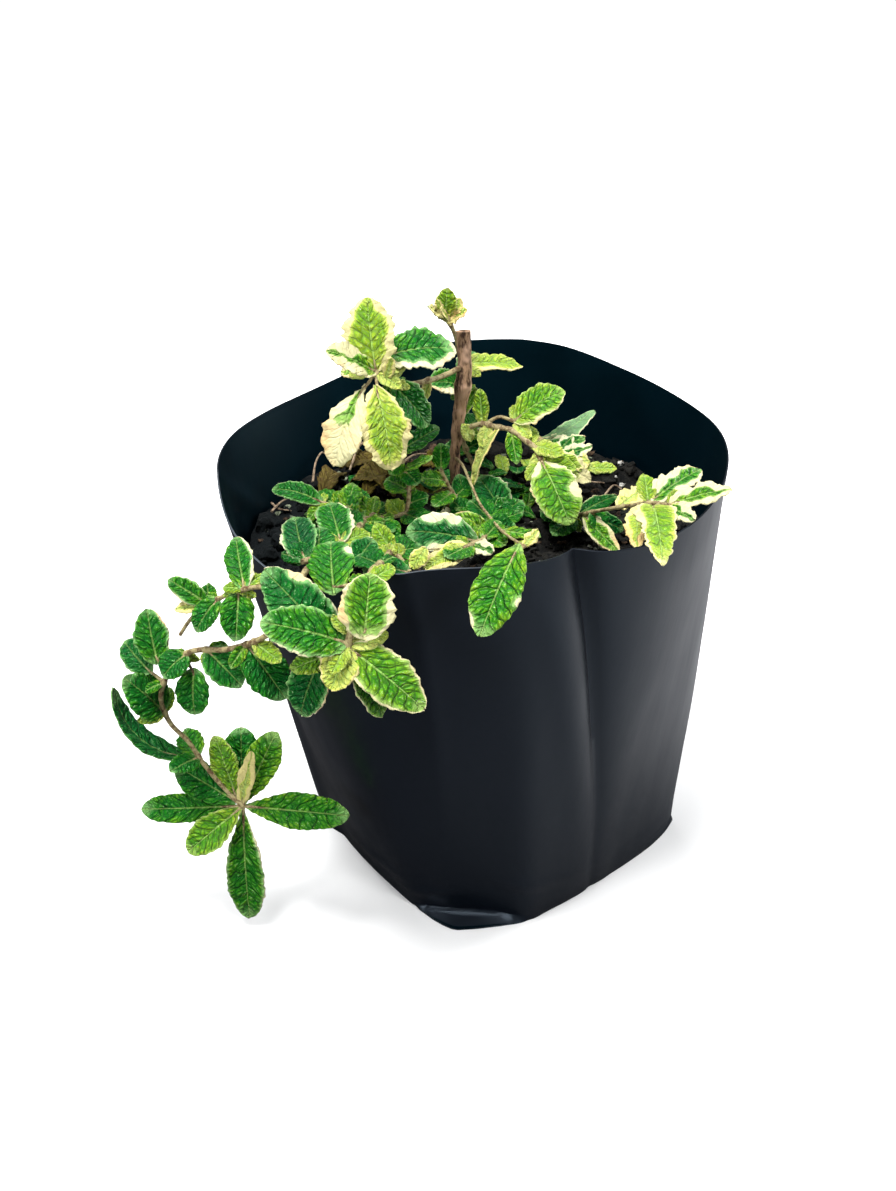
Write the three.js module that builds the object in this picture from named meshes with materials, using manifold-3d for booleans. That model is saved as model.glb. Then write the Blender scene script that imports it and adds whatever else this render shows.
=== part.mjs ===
// Variegated mint in a black film grow bag. Millimetres, +Z up.
// The origin is the middle of the bag's foot, on the surface that it stands on.
import * as THREE from 'three';
import { mergeVertices } from 'three/addons/utils/BufferGeometryUtils.js';
import Module from 'manifold-3d';

const wasm = await Module();
wasm.setup();

// Grow bag: foot corners as [angle in degrees, distance from the middle]
const FILM = 1.2;
const FOOT_CORNERS = [[-2, 60.5], [77, 60], [178, 62], [256, 55]];
const EAR_LENGTHS = [4, 3.5, 2.5, 7];
const SIDE_BOWS = [6, 6, 3, 8];
const EAR_HEIGHT = 7;
const MOUTH_CENTRE = { x: -9.8, y: -1.3 };
const BELLY = 1;
const WALL_LEVELS = [0, EAR_HEIGHT, 35, 70, 100];

// Rim as [angle in degrees, height, radius]
const RIM = [
  [0, 145, 78], [27, 145, 80.5], [48, 148.5, 80], [68, 153, 80], [90, 152.5, 80],
  [110, 149.5, 79.5], [132, 143, 79], [150, 141.5, 79], [190, 142, 79], [212, 134.5, 80.5],
  [233, 131, 80], [253, 140, 78.5], [275, 144, 78], [320, 141.5, 76],
];

// Folds that run down the bag: [angle, depth at the rim, half width in degrees]
const GUSSETS = [[291.5, 6, 9], [111.5, 5, 9]];

// Soil
const SOIL_GAP = 0.7;
const SOIL_TOP = 111;
const SOIL_RISE_TO_BACK = 6;
const SOIL_LUMPS = 1.8;
const ROOT_DEPTH = 15;
const HOLE_CLEARANCE = 0.8;
const HOLE_LENGTH = 40;
const HOLE_SIDES = 8;

// Leaves
const LEAF_THICKNESS = 0.7;
const TOOTH = 0.08;
const PETIOLE_RADIUS = 0.55;
const PETIOLE_LENGTH = 3.5;
const STEM_SIDES = 5;
const STALK_SIDES = 3;
const STALK_OVERLAP = 0.12;

// Woody stem
const BARK_SIDES = 8;
const BARK_RIDGES = 0.07;
const WOOD_RADII = [1.7, 1.7, 1.7, 1.7, 1.7, 1.8, 1.9, 2.6, 2.2, 2.3];
const BARK_GAP = 0.35;
const WOOD_STEPS_PER_STRETCH = 2;
const WOOD_SEARCH_STEP = 0.005;

// View that the plant is laid out in: a leaf is placed by the picture point where it shows,
// and by its depth, the y of the upright plane that it lies in
const PICTURE_CENTRE = { across: 448, down: 595.5 };
const FOCAL_LENGTH = 1300;
const EYE = { x: -18, y: -373, z: 300 };
const EYE_PITCH = THREE.MathUtils.degToRad(29.2);

const COLOURS = {
  film: 0x14171a,
  soil: 0x2a201a,
  bark: 0x6b4a3c,
  leaf: 0x3f8a3a,
  dry: 0x7a6238,
};

// Where the leaves turn their upper faces
const LIGHT = new THREE.Vector3(0, -0.6, 0.8);

const radians = THREE.MathUtils.degToRad;
const lerp = THREE.MathUtils.lerp;

function at(across, down, depth) {
  const right = (across - PICTURE_CENTRE.across) / FOCAL_LENGTH;
  const below = (down - PICTURE_CENTRE.down) / FOCAL_LENGTH;
  const forward = Math.cos(EYE_PITCH) - below * Math.sin(EYE_PITCH);
  const upward = -Math.sin(EYE_PITCH) - below * Math.cos(EYE_PITCH);
  const reach = (depth - EYE.y) / forward;
  return new THREE.Vector3(EYE.x + right * reach, depth, EYE.z + upward * reach);
}

function point(x, y, z) {
  return new THREE.Vector3(x, y, z);
}

// Solids and meshes

function meshGeometry(positions, indices) {
  const geometry = new THREE.BufferGeometry();
  geometry.setAttribute('position', new THREE.Float32BufferAttribute(positions, 3));
  geometry.setIndex(indices);
  return geometry;
}

function solidOf(geometry) {
  const bare = geometry.clone();
  bare.deleteAttribute('normal');
  bare.deleteAttribute('uv');
  const merged = mergeVertices(bare, 1e-4);
  return new wasm.Manifold(new wasm.Mesh({
    numProp: 3,
    vertProperties: new Float32Array(merged.attributes.position.array),
    triVerts: new Uint32Array(merged.index.array),
  }));
}

function geometryOf(solid) {
  const mesh = solid.getMesh();
  return meshGeometry(Array.from(mesh.vertProperties), Array.from(mesh.triVerts));
}

// The largest body of a solid, without loose scraps
function mainBody(solid) {
  const bodies = solid.decompose();
  bodies.sort((a, b) => b.volume() - a.volume());
  return bodies[0];
}

function named(name, geometry, color, roughness) {
  const material = new THREE.MeshStandardMaterial({ color, roughness, metalness: 0 });
  const mesh = new THREE.Mesh(geometry, material);
  mesh.name = name;
  return mesh;
}

// Rings of points joined into a closed body, with a fan at each end
function closedRings(rings) {
  const sides = rings[0].length;
  const positions = rings.flat().flatMap((p) => [p.x, p.y, p.z]);
  const indices = [];
  for (let ring = 0; ring + 1 < rings.length; ring += 1) {
    for (let side = 0; side < sides; side += 1) {
      const next = (side + 1) % sides;
      const a = ring * sides + side;
      const b = ring * sides + next;
      const [pa, pb] = [rings[ring][side], rings[ring][next]];
      const [pc, pd] = [rings[ring + 1][next], rings[ring + 1][side]];
      if (pa.distanceTo(pc) < pb.distanceTo(pd)) {
        indices.push(a, b, b + sides, a, b + sides, a + sides);
      } else {
        indices.push(a, b, a + sides, b, b + sides, a + sides);
      }
    }
  }
  const last = (rings.length - 1) * sides;
  for (let side = 1; side + 1 < sides; side += 1) {
    indices.push(0, side + 1, side);
    indices.push(last, last + side, last + side + 1);
  }
  return meshGeometry(positions, indices);
}

// Height and radius of the rim at an angle, eased between the places that are given
function rimAt(angle) {
  const turn = ((angle % 360) + 360) % 360;
  const next = RIM.findIndex(([start]) => start > turn);
  const [end, endHeight, endRadius] = next < 0 ? RIM[0] : RIM[next];
  const [start, startHeight, startRadius] = next < 0 ? RIM[RIM.length - 1] : RIM[next - 1];
  const span = next < 0 ? end + 360 - start : end - start;
  const part = THREE.MathUtils.smoothstep((turn - start) / span, 0, 1);
  return {
    height: lerp(startHeight, endHeight, part),
    radius: lerp(startRadius, endRadius, part),
  };
}

// Grow bag

// Distance of the foot's edge from the middle: four sides that bow out between their corners
function footRadius(angle, earScale) {
  const count = FOOT_CORNERS.length;
  for (let i = 0; i < count; i += 1) {
    const [start, nearRaw] = FOOT_CORNERS[i];
    const [rawEnd, farRaw] = FOOT_CORNERS[(i + 1) % count];
    const end = rawEnd > start ? rawEnd : rawEnd + 360;
    let here = ((angle % 360) + 360) % 360;
    if (here < start) here += 360;
    if (here - 360 >= start) here -= 360;
    if (here <= end) {
      const near = nearRaw + earScale * EAR_LENGTHS[i];
      const far = farRaw + earScale * EAR_LENGTHS[(i + 1) % count];
      const span = radians(end - start);
      const from = radians(here - start);
      const to = radians(end - here);
      const straight = (near * far * Math.sin(span)) / (near * Math.sin(from) + far * Math.sin(to));
      return straight + SIDE_BOWS[i] * Math.sin((Math.PI * from) / span);
    }
  }
  return FOOT_CORNERS[0][1];
}

function gussetDepth(angle) {
  let depth = 0;
  for (const [middle, deep, halfWidth] of GUSSETS) {
    const away = Math.abs(((angle - middle + 540) % 360) - 180);
    depth += deep * Math.max(0, 1 - away / halfWidth);
  }
  return depth;
}

// Angles of the wall's columns: even steps, with the corners and folds met exactly
function wallAngles() {
  const exact = FOOT_CORNERS.map(([angle]) => (angle + 360) % 360);
  for (const [middle, , halfWidth] of GUSSETS) {
    exact.push(middle - halfWidth, middle, middle + halfWidth);
  }
  const angles = [...exact];
  for (let angle = 0; angle < 360; angle += 12) {
    if (exact.every((other) => Math.abs(other - angle) > 5)) angles.push(angle);
  }
  return angles.sort((a, b) => a - b);
}

// Outer radius and height of the film at a level of the wall; the last level is the rim
function wallLevel(angle, level) {
  const mouth = rimAt(angle);
  const height = level < WALL_LEVELS.length ? WALL_LEVELS[level] : mouth.height;
  const part = height / mouth.height;
  const foot = footRadius(angle, height < EAR_HEIGHT ? 1 : 0);
  const belly = BELLY * Math.sin(Math.PI * part);
  const fold = gussetDepth(angle) * lerp(0.15, 1, part);
  return { radius: lerp(foot, mouth.radius, part) + belly - fold, height, part };
}

function wallPoint(angle, level, inset) {
  const { radius, height, part } = wallLevel(angle, level);
  const turn = radians(angle);
  return point(
    MOUTH_CENTRE.x * part + (radius - inset) * Math.cos(turn),
    MOUTH_CENTRE.y * part + (radius - inset) * Math.sin(turn),
    height,
  );
}

function growBag() {
  const angles = wallAngles();
  const levels = [...WALL_LEVELS.keys(), WALL_LEVELS.length];
  const outside = levels.map((level) => angles.map((angle) => wallPoint(angle, level, 0)));
  const inside = levels.map((level) => angles.map((angle) => wallPoint(angle, level, FILM)));
  inside[0].forEach((p) => p.setZ(FILM));
  return closedRings([...outside, ...inside.reverse()]);
}

// Soil

function soilHeight(x, y) {
  const lumps = Math.sin(x * 0.17 + 1.3) * Math.cos(y * 0.14) + 0.5 * Math.sin(x * 0.26 - y * 0.23);
  return SOIL_TOP + SOIL_RISE_TO_BACK * THREE.MathUtils.smoothstep(y, -30, 60) + SOIL_LUMPS * lumps;
}

function soilBody(holes) {
  const angles = wallAngles();
  const inset = FILM + SOIL_GAP;
  const top = WALL_LEVELS.length - 1;
  const rings = [];
  for (let level = 0; level <= top; level += 1) {
    rings.push(angles.map((angle) => wallPoint(angle, level, inset)));
  }
  rings[0].forEach((p) => p.setZ(inset));
  const edge = angles.map((angle) => {
    const low = wallPoint(angle, top, inset);
    const high = wallPoint(angle, top + 1, inset);
    const height = soilHeight(low.x, low.y);
    return low.lerp(high, (height - low.z) / (high.z - low.z));
  });
  rings.push(edge);
  for (const share of [0.75, 0.5, 0.25]) {
    rings.push(edge.map((p) => {
      const x = p.x * share;
      const y = p.y * share;
      return point(x, y, soilHeight(x, y));
    }));
  }
  let body = solidOf(closedRings(rings));
  for (const { foot, radius } of holes) {
    const hole = new THREE.CylinderGeometry(radius, radius, HOLE_LENGTH, HOLE_SIDES);
    hole.rotateX(Math.PI / 2);
    hole.translate(foot.x, foot.y, foot.z - HOLE_CLEARANCE + HOLE_LENGTH / 2);
    body = body.subtract(solidOf(hole));
  }
  return body;
}

// Stems

function tube(route, startRadius, endRadius, sides = STEM_SIDES, stepLength = 8) {
  const curve = new THREE.CatmullRomCurve3(route, false, 'centripetal');
  const steps = Math.max(1, Math.round(curve.getLength() / stepLength));
  const frames = curve.computeFrenetFrames(steps, false);
  const rings = [];
  for (let step = 0; step <= steps; step += 1) {
    const centre = curve.getPointAt(step / steps);
    const radius = lerp(startRadius, endRadius, step / steps);
    const ring = [];
    for (let side = 0; side < sides; side += 1) {
      const turn = (side / sides) * 2 * Math.PI;
      ring.push(centre.clone()
        .addScaledVector(frames.normals[step], radius * Math.cos(turn))
        .addScaledVector(frames.binormals[step], radius * Math.sin(turn)));
    }
    rings.push(ring);
  }
  return closedRings(rings);
}

// First points of a stem that stands in the soil at (x, y)
function rooted(x, y) {
  return [
    point(x, y, SOIL_TOP - ROOT_DEPTH),
    point(x, y, SOIL_TOP - 5),
    point(x, y, SOIL_TOP + 3),
    point(x, y, SOIL_TOP + 8),
  ];
}

// Leaves

// Half width of a blade, as a share of its widest, from its base (0) to its tip (1)
function bladeProfile(along, broadest) {
  const bend = Math.log(0.5) / Math.log(broadest);
  return Math.sin(Math.PI * along ** bend) ** 0.7;
}

// The way that a blade's upper face looks: towards the light, turned about its midrib
function bladeNormal(base, tip, { turn = 0, light = LIGHT }) {
  const axis = tip.clone().sub(base).normalize();
  const normal = light.clone().addScaledVector(axis, -light.dot(axis)).normalize();
  return normal.applyAxisAngle(axis, radians(turn));
}

function midrib(base, tip, shape, along) {
  const { arch = 0 } = shape;
  const normal = bladeNormal(base, tip, shape);
  return base.clone().lerp(tip, along).addScaledVector(normal, arch * 4 * along * (1 - along));
}

function blade(base, tip, width, shape) {
  const { fold = 16, broadest = 0.48, ripple = 0.5 } = shape;
  const stations = width >= 12 ? 6 : width >= 9 ? 5 : 4;
  const flat = width < 6;
  const columns = flat ? [-1, 1] : [-1, 0, 1];
  const normal = bladeNormal(base, tip, shape);
  const side = tip.clone().sub(base).normalize().cross(normal);
  const rise = Math.sin(radians(fold));
  const spread = Math.cos(radians(fold));
  const positions = [];
  for (const face of [0.5, -0.5]) {
    for (let station = 0; station <= stations; station += 1) {
      const along = station / stations;
      const middle = midrib(base, tip, shape, along)
        .addScaledVector(normal, face * LEAF_THICKNESS);
      const tooth = 1 + (station % 2 ? TOOTH : -TOOTH);
      const half = Math.max(0.5, (width / 2) * bladeProfile(along, broadest) * tooth);
      const wave = ripple * (station % 2 ? 1 : -1);
      for (const across of station < stations ? columns : [0]) {
        const p = middle.clone()
          .addScaledVector(side, across * half * spread)
          .addScaledVector(normal, flat ? 0 : Math.abs(across) * (half * rise + wave));
        positions.push(p.x, p.y, p.z);
      }
    }
  }
  const count = columns.length;
  const layer = stations * count + 1;
  const end = layer - 1;
  const indices = [];
  const face = (a, b, c) => indices.push(a, b, c, a + layer, c + layer, b + layer);
  const wall = (a, b) => indices.push(a, a + layer, b + layer, a, b + layer, b);
  for (let column = 0; column + 1 < count; column += 1) {
    for (let station = 0; station + 1 < stations; station += 1) {
      const a = station * count + column;
      const outerFirst = column > 0;
      if (outerFirst) face(a, a + 1, a + count + 1);
      else face(a, a + 1, a + count);
      if (outerFirst) face(a, a + count + 1, a + count);
      else face(a + 1, a + count + 1, a + count);
    }
    face(end - count + column, end - count + column + 1, end);
    wall(column, column + 1);
  }
  for (let station = 0; station + 1 < stations; station += 1) {
    const a = station * count;
    wall(a + count, a);
    wall(a + count - 1, a + 2 * count - 1);
  }
  wall(end, end - count);
  wall(end - 1, end);
  return meshGeometry(positions, indices);
}

// A blade joined to the nearest place on its stems: seated there, or on a stalk if it is away
function leafSolid({ base, tip, width, shape }, stems) {
  let anchor = null;
  for (const { route } of stems) {
    for (const p of new THREE.CatmullRomCurve3(route, false, 'centripetal').getSpacedPoints(60)) {
      if (!anchor || p.distanceTo(base) < anchor.distanceTo(base)) anchor = p;
    }
  }
  const away = anchor.distanceTo(base);
  if (away < PETIOLE_LENGTH) return solidOf(blade(anchor, tip, width, shape));
  const stalkEnd = midrib(base, tip, shape, STALK_OVERLAP);
  const stalk = tube([anchor, stalkEnd], PETIOLE_RADIUS, PETIOLE_RADIUS, STALK_SIDES, 2 * away);
  return solidOf(stalk).add(solidOf(blade(base, tip, width, shape)));
}

function leaf(base, tip, width, shape = {}) {
  return { base, tip, width, shape };
}

function stem(route, start, end) {
  return { route, start, end };
}

// A leafy stem: its stems and leaves, fused where they grow from one another
function shootSolid(stems, leaves) {
  const parts = stems.map(({ route, start, end }) => solidOf(tube(route, start, end)));
  leaves.forEach((one) => parts.push(leafSolid(one, stems)));
  return wasm.Manifold.union(parts);
}

// Woody stem
const woodRoute = [
  ...rooted(-15.5, 27),
  at(454.5, 456, 27), at(457, 436, 27), at(459.5, 410, 28), at(463, 386, 28),
  at(464.5, 360, 29), at(463.5, 331, 30),
];

const woodCurve = new THREE.CatmullRomCurve3(woodRoute, false, 'centripetal');

// Radius of the woody stem at a share of its route
function woodRadius(share) {
  const place = share * (WOOD_RADII.length - 1);
  const from = Math.min(Math.floor(place), WOOD_RADII.length - 2);
  return lerp(WOOD_RADII[from], WOOD_RADII[from + 1], place - from);
}

// Where a side stem leaves the bark, on its way to the point that it goes to
function besideWood(height, towards) {
  let share = 0;
  while (share < 1 && woodCurve.getPoint(share).z < height) share += WOOD_SEARCH_STEP;
  const axis = woodCurve.getPoint(share);
  const way = towards.clone().sub(axis).normalize();
  return axis.addScaledVector(way, woodRadius(share) * (1 + BARK_RIDGES) + BARK_GAP);
}

function woodySolid() {
  const steps = (woodRoute.length - 1) * WOOD_STEPS_PER_STRETCH;
  const frames = woodCurve.computeFrenetFrames(steps, false);
  const rings = [];
  for (let step = 0; step <= steps; step += 1) {
    const ring = [];
    for (let side = 0; side < BARK_SIDES; side += 1) {
      const turn = (side / BARK_SIDES) * 2 * Math.PI;
      const ridge = 1 + BARK_RIDGES * Math.sin(3 * turn + 2.3 * step);
      const bark = woodRadius(step / steps) * ridge;
      ring.push(woodCurve.getPoint(step / steps)
        .addScaledVector(frames.normals[step], bark * Math.cos(turn))
        .addScaledVector(frames.binormals[step], bark * Math.sin(turn)));
    }
    rings.push(ring);
  }
  return closedRings(rings);
}

// Upper left shoot
const upperLeft = {
  stems: [
    stem([
      besideWood(160, at(443, 376, 22)), at(443, 376, 22), at(430, 380, 17),
      at(411, 384, 12), at(385, 381, 7), at(376, 372, 5),
    ], 1.2, 1.0),
  ],
  leaves: [
    leaf(at(369, 369, 6), at(367, 297, 13), 17, { turn: -10, arch: 1.5, fold: 12 }),
    leaf(at(372, 378, 4), at(326, 350, 1), 11, { turn: 50, arch: 1 }),
    leaf(at(374, 374, 9), at(341, 372, 17), 7, { turn: 20 }),
    leaf(at(384, 356, 7), at(456, 349, 14), 17, { turn: -8, arch: 1.5, fold: 10, broadest: 0.5 }),
    leaf(at(386, 378, 3), at(392, 358, 1), 4, { turn: 20 }),
    leaf(at(366, 384, 2), at(335, 466, -9), 14, { turn: 15, arch: 3, broadest: 0.62 }),
    leaf(at(375, 385, 1), at(391, 470, -9), 15, { turn: -10, arch: 3, broadest: 0.55 }),
    leaf(at(389, 382, 9), at(428, 426, 9), 12.5, { turn: -10, arch: 1 }),
    leaf(at(428, 382, 17), at(424, 401, 14), 3.4, {}),
    leaf(at(382, 372, 12), at(402, 352, 30), 11, { turn: 10, arch: 2 }),
    leaf(at(372, 372, 12), at(352, 366, 32), 10, { turn: -10, arch: 2 }),
  ],
};

// Back shoot, behind the woody stem
const back = {
  stems: [
    stem([
      ...rooted(-9, 41), at(463, 440, 41), at(463, 400, 40), at(460, 360, 39),
      at(455, 335, 38), at(446, 315, 38),
    ], 1.2, 0.9),
  ],
  leaves: [
    leaf(at(446, 314, 38), at(447, 288, 38), 7, { arch: 0.5 }),
    leaf(at(446, 320, 37), at(428, 306, 34), 5.5, { turn: 20 }),
    leaf(at(452, 321, 37), at(467, 309, 36), 5.5, { turn: -20 }),
    leaf(at(448, 326, 36), at(441, 308, 32), 4.5, {}),
    leaf(at(457, 388, 38), at(429, 383, 36), 12, { turn: 10, arch: 1 }),
    leaf(at(466, 364, 39), at(522, 366, 45), 8.5, { turn: -15, arch: 1 }),
    leaf(at(465, 414, 40), at(477, 389, 38), 5.5, { turn: -20 }),
    leaf(at(462, 372, 42), at(475, 352, 56), 8, { arch: 1 }),
    leaf(at(458, 392, 43), at(440, 372, 58), 9, { arch: 1 }),
    leaf(at(463, 430, 43), at(484, 418, 58), 9, { arch: 1.5 }),
  ],
};

// Right branch
const rightBranch = {
  stems: [
    stem([
      besideWood(138, at(482, 424, 25)), at(482, 424, 25), at(497, 427, 22),
      at(511, 430, 20), at(523, 439, 17), at(535, 448, 14), at(541, 460, 11),
    ], 1.1, 0.9),
    stem([at(484, 425, 25), at(499, 417, 25), at(514, 421, 24)], 0.8, 0.7),
  ],
  leaves: [
    leaf(at(540, 461, 11), at(570, 525, -12), 15, { turn: 5, arch: 2, fold: 12, broadest: 0.55 }),
    leaf(at(541, 453, 15), at(591, 481, 9), 9, { turn: 10, arch: 1.5 }),
    leaf(at(544, 450, 17), at(585, 438, 23), 7, { turn: -10 }),
    leaf(at(585, 468, 12), at(617, 468, 13), 5, { turn: -10 }),
    leaf(at(498, 436, 20), at(473, 485, 15), 5.5, { turn: 40, arch: 1.5 }),
    leaf(at(472, 441, 24), at(463, 424, 25), 5, { turn: 10 }),
    leaf(at(511, 434, 20), at(517, 464, 13), 5.5, { turn: 15 }),
    leaf(at(490, 430, 24), at(481, 447, 19), 5, {}),
    leaf(at(483, 422, 26), at(480, 389, 27), 5.5, { turn: -15 }),
    leaf(at(514, 424, 24), at(565, 391, 25), 14, { turn: -12, arch: 1.5, fold: 14 }),
    leaf(at(536, 446, 19), at(594, 411, 36), 8, { turn: -20, arch: 1 }),
    leaf(at(530, 448, 19), at(563, 436, 26), 5, { turn: -15 }),
  ],
};

// Front runner, which lays a leaf over the front rim
const frontRunner = {
  stems: [
    stem([
      besideWood(129, at(461, 460, 20)), at(463, 466, 18), at(471, 484, 9), at(479, 502, 0),
      at(489, 516, -14), at(501, 530, -32), at(511, 538, -50), at(524, 546, -70),
    ], 0.75, 0.65),
  ],
  leaves: [
    leaf(at(520, 543, -75), at(480, 636, -93), 13, { turn: 5, arch: 2, fold: 14, broadest: 0.56 }),
    leaf(at(528, 547, -73), at(538, 530, -68), 4, { turn: -20 }),
    leaf(at(502, 531, -33), at(541, 536, -36), 4.5, { turn: -15 }),
  ],
};

// Middle shoot
const middle = {
  stems: [
    stem([
      ...rooted(-6, 6), at(492, 518, 5), at(489, 524, -12), at(484, 538, -32), at(470, 545, -46),
    ], 1.2, 0.8),
    stem([
      at(489, 525, -12), at(476, 522, 2), at(466, 512, 12), at(451, 490, 14), at(441, 470, 14),
    ], 0.8, 0.7),
  ],
  leaves: [
    leaf(at(503, 514, 10), at(478, 477, 20), 13, { turn: 5, arch: 1 }),
    leaf(at(467, 511, 12), at(459, 474, 19), 7.5, { turn: 5 }),
    leaf(at(480, 541, -40), at(406, 531, -44), 13, { turn: -5, arch: 2, fold: 12 }),
    leaf(at(478, 549, -47), at(424, 569, -62), 7, { turn: -10, arch: 1 }),
    leaf(at(476, 545, -44), at(493, 552, -52), 5, { turn: 10 }),
    leaf(at(426, 548, -58), at(412, 569, -62), 5.5, { turn: 10 }),
    leaf(at(487, 528, -18), at(452, 518, -22), 7, { turn: -10 }),
    leaf(at(440, 470, 14), at(441, 443, 16), 6, {}),
    leaf(at(490, 519, 3), at(521, 500, 14), 10, { turn: -10 }),
    leaf(at(488, 526, -14), at(460, 540, -26), 10, { turn: 10 }),
    leaf(at(466, 513, 11), at(440, 523, 3), 9, { turn: 10 }),
    leaf(at(470, 546, -47), at(446, 557, -57), 8, { turn: 5 }),
    leaf(at(446, 482, 13), at(420, 478, 12), 7, { turn: 10 }),
    leaf(at(452, 492, 13), at(434, 506, 2), 7, { turn: 10 }),
    leaf(at(488, 524, -10), at(522, 512, 2), 7, { turn: -10 }),
  ],
};

// Right shoot, with a pale rosette at the rim
const right = {
  stems: [
    stem([
      ...rooted(16, 12), at(574, 516, -1), at(592, 512, -11),
      at(614, 508, -21), at(634, 505, -29), at(650, 503, -35), at(668, 505, -39),
    ], 0.9, 0.7),
  ],
  leaves: [
    leaf(at(574, 512, -1), at(617, 496, 12), 6, { turn: -10, arch: 1 }),
    leaf(at(590, 516, -9), at(624, 530, -6), 6.5, { turn: 10 }),
    leaf(at(577, 519, -8), at(619, 552, -26), 6.5, { turn: 30, arch: 1 }),
    leaf(at(626, 506, -22), at(645, 487, -12), 7.5, { turn: -15 }),
    leaf(at(648, 501, -34), at(701, 469, -22), 9, { turn: -12, arch: 1 }),
    leaf(at(668, 505, -39), at(732, 489, -41), 8, { turn: -15, arch: 0.8 }),
    leaf(at(664, 506, -41), at(694, 520, -50), 6, { turn: 10 }),
    leaf(at(652, 505, -40), at(663, 565, -73), 11, { turn: 5, arch: 3.5, fold: 12 }),
    leaf(at(632, 507, -32), at(637, 548, -52), 7, { turn: 20, arch: 1 }),
    leaf(at(660, 503, -34), at(680, 486, -14), 7, { turn: -10, arch: 1 }),
  ],
};

// Left shoot: the dense stems in the left half of the bag
const left = {
  stems: [
    stem([
      ...rooted(-40, 4), at(366, 520, -4), at(352, 535, -20), at(338, 545, -32),
      at(318, 556, -42), at(302, 562, -46),
    ], 1.3, 0.9),
    stem([at(366, 520, -4), at(345, 508, 2), at(323, 503, 5)], 0.9, 0.7),
    stem([
      at(366, 520, -4), at(385, 518, -2), at(405, 512, 4), at(409, 490, 9),
      at(403, 464, 13), at(400, 448, 14),
    ], 0.9, 0.7),
  ],
  leaves: [
    leaf(at(322, 503, 5), at(272, 489, 9), 8, { turn: 10, arch: 2 }),
    leaf(at(300, 561, -44), at(295, 517, -24), 11, { turn: -5, arch: 1 }),
    leaf(at(344, 545, -30), at(329, 503, -8), 11.5, { turn: 5, arch: 1 }),
    leaf(at(356, 562, -44), at(373, 539, -38), 9, { turn: -5 }),
    leaf(at(401, 449, 14), at(439, 427, 17), 8, { turn: -10 }),
    leaf(at(401, 456, 13), at(374, 446, 22), 8, { turn: 10 }),
    leaf(at(404, 468, 12), at(432, 458, 4), 6, { turn: -15 }),
    leaf(at(366, 522, -6), at(362, 549, -24), 9, { turn: 5 }),
    leaf(at(320, 556, -42), at(320, 527, -30), 9.5, { turn: 5 }),
    leaf(at(386, 519, -3), at(371, 541, -16), 9, { turn: 10 }),
    leaf(at(405, 513, 3), at(429, 523, -7), 9, { turn: -10 }),
    leaf(at(409, 490, 9), at(386, 479, 15), 9, { turn: 10 }),
    leaf(at(345, 509, 1), at(354, 484, 12), 8, {}),
    leaf(at(357, 517, 0), at(338, 495, 8), 7.5, {}),
    leaf(at(371, 514, 0), at(376, 496, 6), 4.5, {}),
    leaf(at(403, 518, 2), at(389, 500, 6), 7, { turn: 5 }),
    leaf(at(406, 513, 5), at(414, 497, 10), 5, {}),
    leaf(at(410, 500, 14), at(404, 471, 20), 5.5, {}),
    leaf(at(365, 522, -4), at(334, 528, -2), 9, { turn: 15, arch: 1 }),
    leaf(at(376, 518, -2), at(392, 532, -14), 8, { turn: -10 }),
    leaf(at(340, 507, 6), at(312, 495, 19), 9, { turn: 10, arch: 1 }),
    leaf(at(366, 520, 2), at(350, 490, 21), 9, { arch: 1.5 }),
  ],
};

// Rim shoot, which leans over the left rim
const rim = {
  stems: [
    stem([
      ...rooted(-31, -22), at(392, 552, -40), at(380, 564, -60), at(372, 570, -72),
      at(364, 588, -84), at(356, 614, -92), at(347, 646, -93),
    ], 1.3, 1.0),
    stem([at(347, 646, -93), at(338, 652, -92), at(322, 656, -90)], 0.9, 0.7),
    stem([at(392, 552, -40), at(402, 560, -50), at(410, 573, -58)], 0.9, 0.7),
  ],
  leaves: [
    leaf(at(344, 646, -90), at(264, 570, -77), 14, { turn: -6, arch: 1.5, fold: 10 }),
    leaf(at(340, 644, -94), at(260, 622, -95), 13, { turn: -4, arch: 1.5, fold: 10 }),
    leaf(at(364, 640, -94), at(370, 573, -86), 14.5, { turn: 8, arch: 1, fold: 18 }),
    leaf(at(354, 655, -94), at(424, 709, -99), 13, { turn: 6, arch: 1.5, fold: 10 }),
    leaf(at(350, 656, -95), at(331, 690, -100), 10, { turn: -10, arch: 0.5 }),
    leaf(at(354, 668, -93), at(383, 716, -94), 8.5, { turn: -20, arch: 1 }),
    leaf(at(321, 657, -89), at(301, 715, -91), 12, { turn: 5, arch: 1.5 }),
    leaf(at(334, 594, -80), at(331, 541, -60), 12.5, { turn: -5, arch: 1.5 }),
    leaf(at(406, 574, -58), at(363, 571, -54), 8.5, { turn: 20, arch: 1.5 }),
    leaf(at(388, 560, -44), at(384, 545, -42), 4.5, {}),
    leaf(at(396, 559, -47), at(399, 543, -44), 4, {}),
    leaf(at(396, 546, -38), at(374, 524, -30), 6, { turn: -15 }),
    leaf(at(393, 551, -39), at(421, 547, -33), 10, { turn: -10 }),
    leaf(at(380, 564, -60), at(357, 555, -50), 9, { turn: 10 }),
  ],
};

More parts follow.
